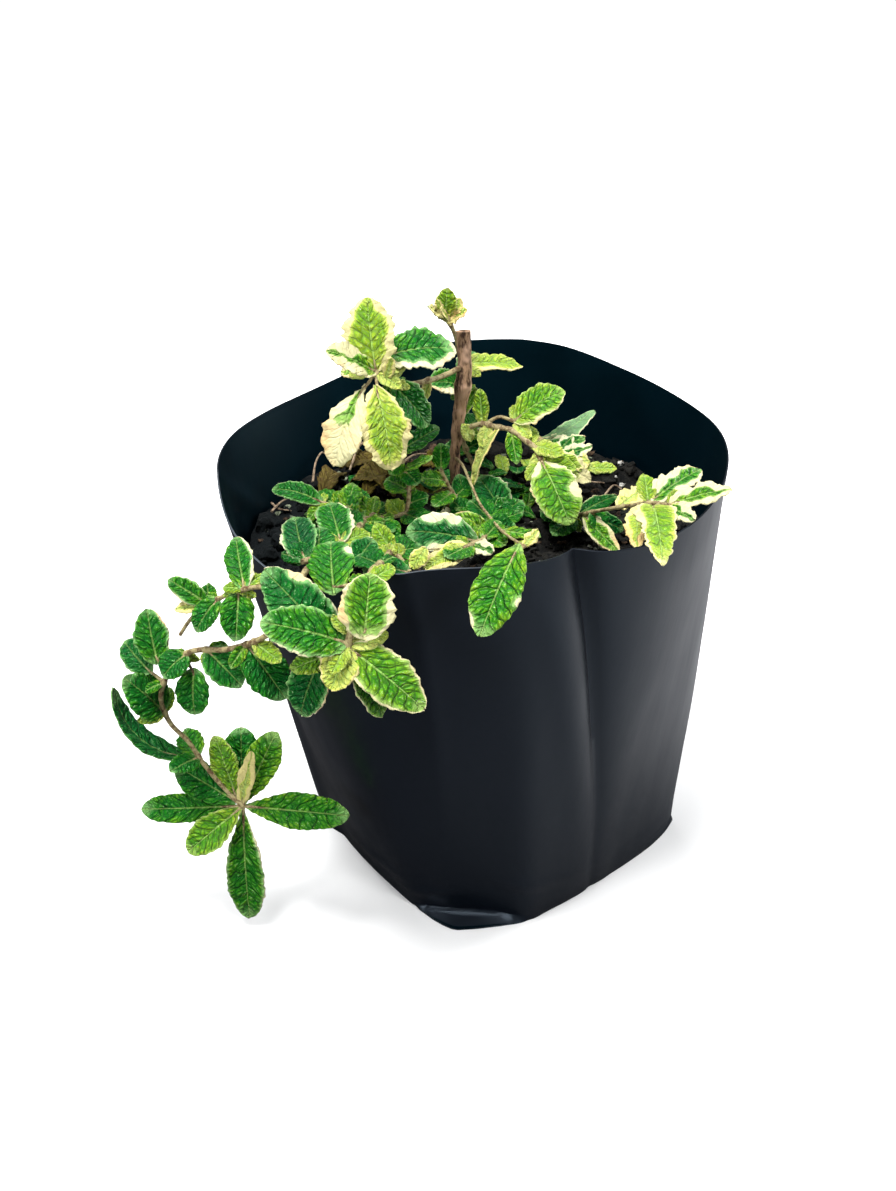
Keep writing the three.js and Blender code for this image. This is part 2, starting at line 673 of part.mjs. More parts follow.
// Trailing shoot, over the left rim and down to a hanging rosette
const trailing = {
  stems: [
    stem([
      ...rooted(-50, -14), at(322, 566, -40), at(316, 566, -58), at(307, 569, -68),
      at(298, 586, -79), at(289, 605, -82), at(268, 634, -79), at(229, 649, -70), at(190, 652, -62),
      at(168, 674, -57), at(161, 700, -54), at(171, 724, -52), at(188, 741, -51),
      at(203, 763, -51), at(224, 788, -52), at(243, 806, -54),
    ], 1.3, 0.9),
    stem([
      at(293, 596, -81), at(272, 588, -76), at(250, 588, -70), at(228, 595, -65),
      at(206, 605, -61), at(190, 620, -60), at(180, 635, -60),
    ], 0.9, 0.7),
  ],
  leaves: [
    leaf(at(245, 587, -68), at(236, 537, -52), 8, { turn: -5, arch: 1 }),
    leaf(at(205, 600, -61), at(168, 579, -58), 6.5, { turn: -10, arch: 0.8 }),
    leaf(at(208, 602, -62), at(207, 584, -58), 5, {}),
    leaf(at(204, 604, -62), at(175, 609, -62), 4.5, { turn: 10 }),
    leaf(at(217, 602, -64), at(196, 632, -68), 8, { turn: 10, arch: 1 }),
    leaf(at(237, 594, -68), at(236, 641, -76), 9.5, { turn: -5, arch: 1 }),
    leaf(at(248, 644, -74), at(286, 699, -80), 12, { turn: 5, arch: 1 }),
    leaf(at(254, 644, -76), at(281, 662, -84), 5.5, {}),
    leaf(at(206, 654, -66), at(242, 686, -72), 10, { turn: 5, arch: 1.5 }),
    leaf(at(158, 664, -56), at(147, 609, -48), 10.5, { turn: -5, arch: 1 }),
    leaf(at(151, 673, -54), at(124, 641, -44), 8.5, { turn: -15, arch: 1 }),
    leaf(at(172, 717, -55), at(124, 678, -57), 13, { turn: 5, arch: 1.5 }),
    leaf(at(190, 660, -62), at(163, 677, -66), 9.5, { turn: 5, arch: 1 }),
    leaf(at(194, 668, -62), at(195, 715, -66), 10, { turn: 5, arch: 1.5 }),
    leaf(at(194, 756, -50), at(113, 688, -44), 12, { turn: 80, arch: -8 }),
    leaf(at(250, 808, -54), at(349, 816, -57), 11.5, { turn: 10, arch: 1, broadest: 0.58 }),
    leaf(at(244, 814, -55), at(250, 918, -57), 12.5, { turn: 5, arch: 1.5, broadest: 0.6 }),
    leaf(at(237, 811, -55), at(188, 852, -62), 11, { turn: -10, arch: 1, broadest: 0.6 }),
    leaf(at(239, 808, -53), at(141, 809, -50), 9.5, { turn: -20, arch: 1, broadest: 0.62 }),
    leaf(at(239, 805, -52), at(176, 766, -47), 11.5, { turn: -8, arch: 1, broadest: 0.6 }),
    leaf(at(240, 799, -52), at(215, 736, -45), 8.5, { turn: -5, broadest: 0.58 }),
    leaf(at(243, 799, -50), at(241, 727, -40), 10.5, { turn: 0, arch: 1, broadest: 0.7 }),
    leaf(at(248, 799, -52), at(276, 732, -47), 11, { turn: 8, arch: 1, broadest: 0.62 }),
    leaf(at(243, 803, -56), at(252, 752, -60), 5.5, { fold: 24 }),
  ],
};

// Withered leaves on the soil: [from x, from y, to x, to y, width, rise of the middle]
const dryLeaves = {
  dry_leaf_left: [-36, 43, -56, 47, 9, 3],
  dry_leaf_arched: [-33, 27, -49, 38, 4.5, 6],
  dry_leaf_yellow: [-27, 21, -20, 42, 5, 2.5],
};
const REST_GAP = 0.3;

// A withered leaf is lifted off the soil in small steps until it just lies on it
function dryLeaf([fromX, fromY, toX, toY, width, rise], soil) {
  const from = point(fromX, fromY, soilHeight(fromX, fromY));
  const to = point(toX, toY, soilHeight(toX, toY));
  const shape = { arch: rise, fold: 8, ripple: 0.3, light: point(0, 0, 1) };
  let body = solidOf(blade(from, to, width, shape));
  while (body.intersect(soil).volume() > 0) body = body.translate([0, 0, REST_GAP]);
  return geometryOf(body.translate([0, 0, REST_GAP]));
}

const shoots = {
  upper_left_shoot: upperLeft,
  back_shoot: back,
  right_branch: rightBranch,
  front_runner: frontRunner,
  middle_shoot: middle,
  right_shoot: right,
  left_shoot: left,
  rim_shoot: rim,
  trailing_shoot: trailing,
};

// Holes for the stems that stand in the soil
const woodHole = { foot: woodRoute[0], radius: WOOD_RADII[0] + HOLE_CLEARANCE };
const shootHoles = Object.values(shoots)
  .map(({ stems: [first] }) => ({ foot: first.route[0], radius: first.start + HOLE_CLEARANCE }))
  .filter(({ foot }) => foot.z < SOIL_TOP);

const soil = mainBody(soilBody([woodHole, ...shootHoles]));

const plant = new THREE.Group();
plant.add(named('grow_bag', growBag(), COLOURS.film, 0.35));
plant.add(named('soil', geometryOf(soil), COLOURS.soil, 1));
plant.add(named('woody_stem', woodySolid(), COLOURS.bark, 0.8));
for (const [name, { stems, leaves }] of Object.entries(shoots)) {
  const body = mainBody(shootSolid(stems, leaves));
  plant.add(named(name, geometryOf(body), COLOURS.leaf, 0.6));
}

for (const [name, place] of Object.entries(dryLeaves)) {
  plant.add(named(name, dryLeaf(place, soil), COLOURS.dry, 0.8));
}

export default plant;
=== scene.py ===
# Variegated mint in a black film grow bag. Metres, +Z up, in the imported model's own frame.
import math

import bpy
import numpy as np
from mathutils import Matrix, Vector, noise


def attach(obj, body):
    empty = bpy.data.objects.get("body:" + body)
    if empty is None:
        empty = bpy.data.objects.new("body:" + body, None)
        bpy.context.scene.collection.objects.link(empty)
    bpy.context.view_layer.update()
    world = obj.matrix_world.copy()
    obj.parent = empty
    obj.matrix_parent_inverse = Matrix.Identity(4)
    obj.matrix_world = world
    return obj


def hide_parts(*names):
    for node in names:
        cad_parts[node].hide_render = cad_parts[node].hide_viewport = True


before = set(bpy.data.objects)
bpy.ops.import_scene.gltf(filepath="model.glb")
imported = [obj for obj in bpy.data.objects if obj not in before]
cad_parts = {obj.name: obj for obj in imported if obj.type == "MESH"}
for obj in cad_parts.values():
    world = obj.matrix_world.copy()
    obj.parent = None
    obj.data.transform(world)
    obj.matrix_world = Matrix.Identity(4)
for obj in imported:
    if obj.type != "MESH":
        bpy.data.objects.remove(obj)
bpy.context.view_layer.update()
bpy.ops.object.select_all(action="DESELECT")
scene = bpy.context.scene
scene.view_settings.view_transform = "Standard"

# Camera: looks at the plant from in front and 29 degrees above. The plant is laid out in this view:
# a point of it is given by where it shows in the picture and by the upright plane that it lies in.
PICTURE = (896, 1191)
FOCAL_LENGTH = 1300
SENSOR = 36
EYE = Vector((-0.018, -0.373, 0.300))
EYE_PITCH = math.radians(29.2)

bpy.ops.object.camera_add(location=EYE, rotation=(math.pi / 2 - EYE_PITCH, 0, 0))
camera = bpy.context.object
camera.name = "camera"
camera.data.sensor_fit = "VERTICAL"
camera.data.sensor_height = SENSOR
camera.data.lens = FOCAL_LENGTH * SENSOR / PICTURE[1]
camera.data.clip_start = 0.01
scene.camera = camera


def at(across, down, depth):
    """The point in metres that shows at a picture point, in the plane at that depth in millimetres."""
    right = (across - PICTURE[0] / 2) / FOCAL_LENGTH
    below = (down - PICTURE[1] / 2) / FOCAL_LENGTH
    forward = math.cos(EYE_PITCH) - below * math.sin(EYE_PITCH)
    upward = -math.sin(EYE_PITCH) - below * math.cos(EYE_PITCH)
    reach = (depth / 1000 - EYE.y) / forward
    return Vector((EYE.x + right * reach, depth / 1000, EYE.z + upward * reach))


# Floor and backdrop: a plain pale sheet that runs far behind the plant and a pale wall around it,
# under soft lamps. The film mirrors a darker floor on its left than on its right. They aren't part of
# the object.
FLOOR_SIZE = 30
BACKDROP_RADIUS = 14
BACKDROP_HEIGHT = 4
FLOOR_SEEN = (0.82, 0.82, 0.82, 1)
FLOOR_MIRRORED = ((0.05, 0.05, 0.055, 1), (0.38, 0.38, 0.39, 1))


def feed(tree, socket, value):
    """Gives a socket a plain value, or joins another node's output to it."""
    if isinstance(value, bpy.types.NodeSocket):
        tree.links.new(value, socket)
    else:
        socket.default_value = value


def node(tree, kind, settings=None, **inputs):
    """A shader node with its settings, each input given by name as a value or another node's output."""
    made = tree.nodes.new("ShaderNode" + kind)
    for name, value in (settings or {}).items():
        setattr(made, name, value)
    for name, value in inputs.items():
        feed(tree, made.inputs[name.replace("_", " ")], value)
    return made


def maths(tree, operation, *values):
    """The result of one sum on values and other nodes' outputs."""
    made = node(tree, "Math", {"operation": operation})
    for socket, value in zip(made.inputs, values):
        feed(tree, socket, value)
    return made.outputs[0]


def colour_mix(tree, share, first, second):
    """One colour laid over another by a share from 0 to 1."""
    made = node(tree, "Mix", {"data_type": "RGBA"})
    for place, value in ((0, share), (6, first), (7, second)):
        feed(tree, made.inputs[place], value)
    return made.outputs[2]


def span(tree, value, low, high, to_low=0.0, to_high=1.0):
    """A value taken smoothly from one range to another."""
    made = node(tree, "MapRange", {"interpolation_type": "SMOOTHSTEP"}, Value=value)
    for name, limit in (("From Min", low), ("From Max", high), ("To Min", to_low), ("To Max", to_high)):
        made.inputs[name].default_value = limit
    return made.outputs[0]


def own_place(tree):
    """Where a point of a piece lies in the model, in metres."""
    return node(tree, "TexCoord").outputs["Object"]


def parts(tree, vector):
    """The three parts of a vector."""
    return node(tree, "SeparateXYZ", Vector=vector).outputs


def speckle(tree, place, scale, detail, rough=0.5):
    """Smooth, uneven spots of a value from 0 to 1."""
    return node(tree, "TexNoise", Vector=place, Scale=scale, Detail=detail, Roughness=rough).outputs["Fac"]


def relief(tree, shader, height, strength, depth, inverted=False):
    """Bumps of a depth in metres on a material's skin. Inverted, what was sunk stands out."""
    bump = node(tree, "Bump", {"invert": inverted}, Height=height, Strength=strength, Distance=depth)
    tree.links.new(bump.outputs[0], shader.inputs["Normal"])


def srgb(red, green, blue):
    """A colour from 0 to 255 as the eye sees it, as the linear colour that a shader takes."""
    linear = [((c / 255 + 0.055) / 1.055) ** 2.4 if c > 10 else c / 3295 for c in (red, green, blue)]
    return (*linear, 1.0)


def material(name, **inputs):
    """A new material with its Principled shader: returns both and the node tree."""
    made = bpy.data.materials.new(name)
    made.use_nodes = True
    shader = next(n for n in made.node_tree.nodes if n.type == "BSDF_PRINCIPLED")
    for socket, value in inputs.items():
        shader.inputs[socket.replace("_", " ")].default_value = value
    return made, shader, made.node_tree


floor_paint, floor_shader, tree = material(
    "floor_paint", Roughness=0.9, Specular_IOR_Level=0.1, Emission_Strength=1)
where = own_place(tree)
seen = node(tree, "LightPath").outputs["Is Camera Ray"]
away = node(tree, "VectorMath", {"operation": "LENGTH"}, Vector=where).outputs["Value"]
mirrored = colour_mix(tree, span(tree, parts(tree, where)["X"], -0.09, 0.16), *FLOOR_MIRRORED)
tree.links.new(colour_mix(tree, seen, mirrored, FLOOR_SEEN), floor_shader.inputs["Base Color"])
glow = maths(tree, "MULTIPLY", seen, span(tree, away, 0.10, 0.35, 0.10, 0.9))
tree.links.new(glow, floor_shader.inputs["Emission Color"])
bpy.ops.mesh.primitive_plane_add(size=FLOOR_SIZE)
floor = bpy.context.object
floor.name = "floor"
floor.data.materials.append(floor_paint)
bpy.ops.mesh.primitive_cylinder_add(vertices=96, radius=BACKDROP_RADIUS, depth=BACKDROP_HEIGHT,
                                    end_fill_type="NOTHING", location=(0, 0, BACKDROP_HEIGHT / 2))
backdrop = bpy.context.object
backdrop.name = "backdrop"
backdrop.data.materials.append(floor_paint)

world = bpy.data.worlds.new("studio")
world.use_nodes = True
sky = world.node_tree.nodes["Background"]
sky.inputs["Color"].default_value = (0.88, 0.95, 1.0, 1)
sky.inputs["Strength"].default_value = 0.17
scene.world = world

# Lamps as [place, point that it faces, size, watts]
LAMPS = [
    [(-0.25, -0.25, 1.25), (0.0, 0.0, 0.10), 0.4, 23.0],
    [(-0.32, 0.60, 1.00), (0.0, 0.0, 0.08), 0.7, 9.0],
    [(0.75, 0.42, 0.45), (0.0, 0.0, 0.06), 0.35, 8.0],
    [(0.55, -0.60, 0.45), (0.0, 0.0, 0.08), 0.25, 3.5],
    [(-0.40, -0.40, 0.20), (-0.12, -0.06, 0.08), 0.2, 1.8],
]
for place, target, size, watts in LAMPS:
    bpy.ops.object.light_add(type="AREA", location=place)
    lamp = bpy.context.object
    lamp.rotation_euler = (Vector(target) - Vector(place)).to_track_quat("-Z", "Y").to_euler()
    lamp.data.size = size
    lamp.data.energy = watts

# Grow bag: a sleeve of thin black polythene film, pleated down its sides and sealed flat at the foot.
# The soil that fills it holds it round at the mouth, and the foot stays a rough square whose front
# corner sticks out as a folded ear.
FILM = 0.0005
# Foot as (angle, how far its edge is from the middle, how far an ear sticks out), in millimetres.
FOOT = [
    (0, 62.2, 1), (10, 57.5, 1), (20, 55, 1), (40, 54, 1.5), (60, 55.5, 2), (78, 58.5, 2.5), (90, 53, 1.5),
    (105, 48.5, 1), (130, 46.5, 1), (150, 48.5, 1), (165, 54, 1), (180, 62, 1), (184, 61.5, 1),
    (191, 56, 0), (201, 53.5, 0), (209.5, 52.3, 0), (218, 52, 0), (225.5, 52.5, 0), (232.8, 53.8, 0),
    (238.8, 55.4, 0), (247, 53, 5.4), (254.8, 52, 9), (262, 51.4, 7.4), (269, 51.6, 5.3), (274, 53.2, 2.8),
    (278.5, 55, 0), (282, 53.6, 0), (287, 51.6, 0), (292.7, 50.3, 0), (299, 49.2, 0), (306, 48.8, 0),
    (312, 48.7, 0), (320, 48.9, 0), (326, 50, 0), (333, 51.9, 0), (339, 54.3, 0), (346, 57.3, 0.2),
    (354.5, 61, 0.6), (360, 62.2, 1),
]
EAR_HEIGHT = 2.6
# Groove above the ear as (depth, height, half width).
EAR_GROOVE = (0.5, 1.9, 0.6)
MOUTH_CENTRE = (-9.8, -1.3)
BELLY = 1
# Folds as [grid column, (part of the height, angle) along it, depth before it at foot and rim, depth
# after it, how many degrees it spreads before it, before it at the rim and after it, its shoulder].
FOLDS = [
    [77.5, [(0, 77), (1, 77)], (0.8, 0.8), (0.8, 0.8), (3, 3, 3), 0],
    [110, [(0, 111.5), (1, 111.5)], (-1, -5), (-1, -5), (3, 3, 8), 0],
    [177.5, [(0, 178), (1, 178)], (0.8, 0), (0.8, 0), (3, 3, 3), 0],
    [255, [(0, 251), (0.12, 252), (0.44, 256), (0.64, 256.8), (0.85, 256.8), (1, 255.2)],
     (0.5, 3.4), (0.5, 3.4), (8, 8, 6), 0],
    [297.5, [(0, 308), (0.3, 304), (0.57, 298.6), (0.8, 294.8), (1, 290.8)],
     (-1, -7), (-1, -7), (2.4, 7.2, 5), 1.8],
    [357.5, [(0, 358), (1, 358)], (0.8, 0), (0.8, 0), (3, 3, 3), 0],
]
SHOULDER_AWAY = 8
SHOULDER_WIDTH = 4.5
RIM_EASE = 12
# Wrinkles as (first angle, height there, last angle, height there, how far it stands out).
WRINKLES = [
    (200, 12, 246, 15, 0.9), (230, 9, 256, 10, 0.7), (262, 20, 300, 12, 0.4), (156, 106, 192, 141, -1.4),
]
WRINKLE_WIDTH = 2.6
# Rim as (angle, height, distance from the middle of the mouth).
RIM = [
    (0, 145, 78), (27, 145, 80.5), (48, 148.5, 80), (68, 153, 80), (90, 152.5, 80),
    (110, 149.5, 79.5), (132, 143, 79), (150, 141.5, 79), (190, 142, 79), (212, 134.5, 80.5),
    (233, 131, 80), (253, 141, 77), (275, 144, 78), (320, 141.5, 76),
]
BAG_COLUMNS = 252
BAG_ROWS = 76


def rim_at(angle):
    """Height and radius of the rim at an angle in degrees, on a smooth loop through the given places."""
    turn, count = angle % 360, len(RIM)
    upper = next((i for i, row in enumerate(RIM) if row[0] > turn), count)
    before, start, end, after = [
        np.array([RIM[i % count][0] + i // count * 360, *RIM[i % count][1:]])
        for i in range(upper - 2, upper + 2)
    ]
    wide = end[0] - start[0]
    share = (turn - start[0]) / wide
    leave = (end - before) / (end[0] - before[0]) * wide
    arrive = (after - start) / (after[0] - start[0]) * wide
    ease = share * share * (3 - 2 * share)
    place = start + (end - start) * ease
    place += leave * share * (1 - share) ** 2 - arrive * share ** 2 * (1 - share)
    return place[1:].tolist()


def foot_edge(angle):
    """How far the foot's edge is from the middle, with its bends eased, and how far an ear sticks out."""
    angles, reaches, ears = zip(*FOOT)
    turn = angle % 360
    eased = np.interp([(turn + off) % 360 for off in (-2, 0, 2)], angles, reaches).mean()
    return float(eased), float(np.interp(turn, angles, ears))


def fold_angle(fold, part):
    """Where a fold runs at a part of the wall's height."""
    return float(np.interp(part, *zip(*fold[1])))


def along_folds(angle, part):
    """The angle of a grid column, moved so that the columns run along the folds."""
    columns = [fold[0] for fold in FOLDS]
    places = [fold_angle(fold, part) for fold in FOLDS]
    return float(np.interp(angle, [columns[-1] - 360, *columns, columns[0] + 360],
                           [places[-1] - 360, *places, places[0] + 360]))


def wall(angle, part, inset=0.0, wrinkled=True):
    """A point of the film in metres, from the foot (part 0) to the rim (part 1)."""
    rim_height, rim_radius = rim_at(angle)
    height = part * rim_height
    foot, ear = foot_edge(angle)
    radius = foot * (1 - part) + rim_radius * part + BELLY * math.sin(math.pi * part)
    radius += ear * max(0.0, 1 - height / EAR_HEIGHT) ** 1.3
    if wrinkled:
        depth, middle, reach = EAR_GROOVE
        radius -= depth * min(1, ear / 3) * math.exp(-((height - middle) / reach) ** 2)
    for fold in FOLDS:
        off = (angle - fold_angle(fold, part) + 180) % 360 - 180
        before, at_rim, after = fold[4]
        if off < -0.01:
            (low, high), wide = fold[2], before + (at_rim - before) * part ** RIM_EASE
        else:
            (low, high), wide = fold[3], after
        radius += (low + (high - low) * part) * math.exp(-abs(off) / wide)
        radius += fold[5] * (part - part ** RIM_EASE) * math.exp(
            -((off + SHOULDER_AWAY) / SHOULDER_WIDTH) ** 2)
    turn = math.radians(angle)
    if wrinkled:
        for start, start_height, end, end_height, rise in WRINKLES:
            done = (angle - start) / (end - start)
            if 0 < done < 1:
                off = height - start_height - (end_height - start_height) * done
                radius += rise * math.sin(math.pi * done) * math.exp(-(off / WRINKLE_WIDTH) ** 2)
        spot = Vector((math.cos(turn) * 1.7, math.sin(turn) * 1.7, height / 90))
        radius += 0.9 * noise.noise(spot) * min(1, height / 12)
        spot = Vector((math.cos(turn) * 5, math.sin(turn) * 5, height / 22))
        radius += 0.28 * noise.noise(spot) * math.exp(-height / 60) * min(1, height / 8)
    x = MOUTH_CENTRE[0] * part + (radius - inset) * math.cos(turn)
    y = MOUTH_CENTRE[1] * part + (radius - inset) * math.sin(turn)
    return x / 1000, y / 1000, height / 1000


def new_places(thing, places):
    """Moves every vertex of a piece to its place in the list."""
    thing.data.vertices.foreach_set("co", np.asarray(places, dtype=np.float32).ravel())
    thing.data.update()


def grid_shares(thing):
    """Each vertex's shares from 0 to 1 along the two sides of a new unit grid."""
    flat = np.empty(len(thing.data.vertices) * 3, dtype=np.float32)
    thing.data.vertices.foreach_get("co", flat)
    return flat.reshape(-1, 3)[:, :2] + 0.5


def close_seams():
    """Joins the grid's ends and its middle, so that the piece is closed, and turns its faces outward."""
    bpy.ops.object.mode_set(mode="EDIT")
    bpy.ops.mesh.select_all(action="SELECT")
    bpy.ops.mesh.remove_doubles(threshold=1e-5)
    bpy.ops.mesh.normals_make_consistent(inside=False)
    bpy.ops.object.mode_set(mode="OBJECT")


def finish_piece(thing, name, slot_name, *cad_nodes):
    """Names a piece, seats it on the one body and hides the parts of the model that it stands for. Its slot
    name is not used.
    """
    thing.name = name
    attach(thing, "root")
    if cad_nodes:
        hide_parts(*cad_nodes)


FOOT_ROWS = 0.08
ROWS_LOW_DOWN = 1.6


def bag_place(angle, share):
    """From the middle of the foot (share 0) out to its edge and up the wall to the rim (share 1)."""
    if share < FOOT_ROWS:
        x, y, _ = wall(along_folds(angle, 0), 0)
        return x * share / FOOT_ROWS, y * share / FOOT_ROWS, 0
    part = ((share - FOOT_ROWS) / (1 - FOOT_ROWS)) ** ROWS_LOW_DOWN
    return wall(along_folds(angle, part), part)


def film_skin(name, dark, light, gloss, shine, smooth, dull):
    """One side of the film: two blacks that it varies between, how strong and of what tint its gloss is,
    and its roughness where it is smooth and where it is dull. It is drawn out in upright streaks."""
    made, shader, tree = material(name, Specular_IOR_Level=gloss, Specular_Tint=shine)
    where = own_place(tree)
    drawn = node(tree, "Mapping", Vector=where, Scale=(60, 60, 9)).outputs[0]
    streaks = speckle(tree, drawn, 2.2, 3)
    cloud = speckle(tree, where, 24, 2)
    pores = speckle(tree, where, 900, 2)
    tree.links.new(colour_mix(tree, cloud, dark, light), shader.inputs["Base Color"])
    worn = maths(tree, "ADD", cloud, maths(tree, "MULTIPLY", streaks, 0.6))
    tree.links.new(span(tree, worn, 0.4, 1.2, smooth, dull), shader.inputs["Roughness"])
    relief(tree, shader, maths(tree, "ADD", streaks, maths(tree, "MULTIPLY", pores, 0.12)), 0.12, 0.0006)
    return made


bpy.ops.mesh.primitive_grid_add(x_subdivisions=BAG_COLUMNS, y_subdivisions=BAG_ROWS, size=1)
bag = bpy.context.object
new_places(bag, [bag_place(360 * (a % 1), max(0, b)) for a, b in grid_shares(bag)])
close_seams()
outer_film = film_skin(
    "black_film", srgb(4, 7, 13), srgb(9, 13, 21), 0.4, (0.66, 0.82, 1, 1), 0.32, 0.46)
# The inside skin is the same film with less gloss and a cyan tint on its reflections: painted shade inside
# the bag, with a painted cyan reflection.
inside_film_painted_shade = film_skin(
    "black_film_inside_painted_shade", srgb(0, 8, 14), srgb(1, 13, 21), 0.12, (0.2, 0.75, 1, 1), 0.5, 0.62)
bag.data.materials.append(outer_film)
bag.data.materials.append(inside_film_painted_shade)
skin = bag.modifiers.new("film", "SOLIDIFY")
skin.thickness = FILM
skin.offset = -1
skin.material_offset = 1
bpy.ops.object.modifier_apply(modifier=skin.name)
bpy.ops.object.shade_smooth_by_angle(angle=math.radians(50))
finish_piece(bag, "grow_bag_film", "film", "grow_bag")

# Soil: dark, crumbly potting mix of peat and bark that fills the bag to some 30 millimetres below the
# rim, a little higher at the back. Clods, crumbs, bark chips, leaf litter and pale grit lie loose on it.
SOIL_INSET = 1.9
SOIL_TOP = 111
SOIL_RISE = 6
SOIL_LUMPS = 1.8
SOIL_FOOT = 1.9
SOIL_COLUMNS = 180
SOIL_ROWS = 72
SOIL_SIDE_FOOT = 0.02
CRUMB_COUNT = 1400
CLOD_COUNT = 170
LITTER_COUNT = 170
CHIP_COUNT = 130
GRIT_COUNT = 26
GRIT_LEFT = -42
SOIL_SEED = 11


def soil_height(x, y):
    """Height of the soil's top in millimetres, before its crumbs."""
    lumps = math.sin(x * 0.17 + 1.3) * math.cos(y * 0.14) + 0.5 * math.sin(x * 0.26 - y * 0.23)
    rise = min(1, max(0, (y + 30) / 90))
    return SOIL_TOP + SOIL_RISE * rise * rise * (3 - 2 * rise) + SOIL_LUMPS * lumps


def clods(x, y):
    """How far the crumbs raise the soil's top, in millimetres."""
    coarse = noise.fractal(Vector((x / 9, y / 9, 0)), 0.9, 2.0, 3)
    fine = abs(noise.noise(Vector((x / 2.4, y / 2.4, 5))))
    return 1.1 * coarse + 1.4 * fine


def soil_brim(angle):
    """The part of the wall's height at which the soil meets the film."""
    for step in range(140, 200):
        x, y, z = wall(angle, step / 200, SOIL_INSET, False)
        if z * 1000 > soil_height(x * 1000, y * 1000):
            break
    return step / 200


BRIMS = {round(360 * i / SOIL_COLUMNS): soil_brim(360 * i / SOIL_COLUMNS) for i in range(SOIL_COLUMNS)}
# The soil's grid gives its first rows to its foot, the next ones to its side and the rest to its top.
FOOT_SHARE = 0.12
SIDE_SHARE = 0.4


def soil_place(angle, share):
    """From the middle of the soil's foot (share 0) up its side to the middle of its top (share 1)."""
    brim = BRIMS[round(angle)]
    if share < FOOT_SHARE:
        x, y, _ = wall(angle, SOIL_SIDE_FOOT, SOIL_INSET, False)
        return x * share / FOOT_SHARE, y * share / FOOT_SHARE, SOIL_FOOT / 1000
    if share < SIDE_SHARE:
        up = (share - FOOT_SHARE) / (SIDE_SHARE - FOOT_SHARE)
        return wall(angle, SOIL_SIDE_FOOT + (brim - SOIL_SIDE_FOOT) * up, SOIL_INSET, False)
    x, y, _ = wall(angle, brim, SOIL_INSET, False)
    inward = (1 - share) / (1 - SIDE_SHARE) * 1000
    x, y = x * inward, y * inward
    return x / 1000, y / 1000, (soil_height(x, y) + clods(x, y)) / 1000


bpy.ops.mesh.primitive_grid_add(x_subdivisions=SOIL_COLUMNS, y_subdivisions=SOIL_ROWS, size=1)
soil = bpy.context.object
new_places(soil, [soil_place(360 * (a % 1), max(0, b)) for a, b in grid_shares(soil)])
close_seams()
bpy.ops.object.shade_smooth()


# Grain that soil, bark, roots and stems share: a coarse and a fine unevenness, with hollows between
# the raised spots.
def effect(name, takes, gives):
    """An empty group of shader nodes with its named inputs and outputs: returns it and both."""
    group = bpy.data.node_groups.new(name, "ShaderNodeTree")
    for way, titles in (("INPUT", takes), ("OUTPUT", gives)):
        for title, kind in titles.items():
            group.interface.new_socket(name=title, in_out=way, socket_type="NodeSocket" + kind)
    taken = group.nodes.new("NodeGroupInput").outputs if takes else None
    return group, taken, group.nodes.new("NodeGroupOutput").inputs


grain, grain_in, grain_out = effect(
    "earthy_grain", {"Place": "Vector", "Coarse": "Float", "Fine": "Float"},
    {"Height": "Float", "Hollow": "Float"})
coarse = speckle(grain, grain_in["Place"], grain_in["Coarse"], 5, 0.65)
fine = speckle(grain, grain_in["Place"], grain_in["Fine"], 4, 0.6)
height = maths(grain, "ADD", coarse, maths(grain, "MULTIPLY", fine, 0.5))
grain.links.new(height, grain_out["Height"])
grain.links.new(span(grain, height, 0.6, 0.85), grain_out["Hollow"])


def grained(name, dark, light, coarse, fine, depth, stretch=(1, 1, 1), rough=0.9):
    """A material with the shared grain between a dark and a light colour."""
    made, shader, tree = material(name, Roughness=rough, Specular_IOR_Level=0.2)
    place = node(tree, "Mapping", Vector=own_place(tree), Scale=stretch).outputs[0]
    group = node(tree, "Group", {"node_tree": grain}, Place=place, Coarse=coarse, Fine=fine).outputs
    colour = colour_mix(tree, group["Hollow"], dark, light)
    tree.links.new(colour, shader.inputs["Base Color"])
    relief(tree, shader, group["Height"], 0.8, depth)
    return made, shader, tree, colour


# The earth is painted darker along its left side: painted shade where the leaves above shade it.
earth, earth_shader, tree, crumbly = grained(
    "moist_earth_painted_shade", srgb(3, 4, 4), srgb(30, 29, 25), 260, 1100, 0.0016)
# Painted shade: the earth turns to a near-black on its left, under the leaves.
unshaded_share = span(tree, parts(tree, own_place(tree))["X"], -0.072, -0.05)
tree.links.new(colour_mix(tree, unshaded_share, srgb(1, 7, 9), crumbly), earth_shader.inputs["Base Color"])
soil.data.materials.append(earth)
finish_piece(soil, "soil_body", "soil", "soil")


def on_soil(across, down):
    """The point of the soil's top that shows at a picture point."""
    depth = 20.0
    for _ in range(12):
        spot = at(across, down, depth) * 1000
        depth += (spot.z - soil_height(spot.x, spot.y)) * 1.6
    return at(across, down, depth)


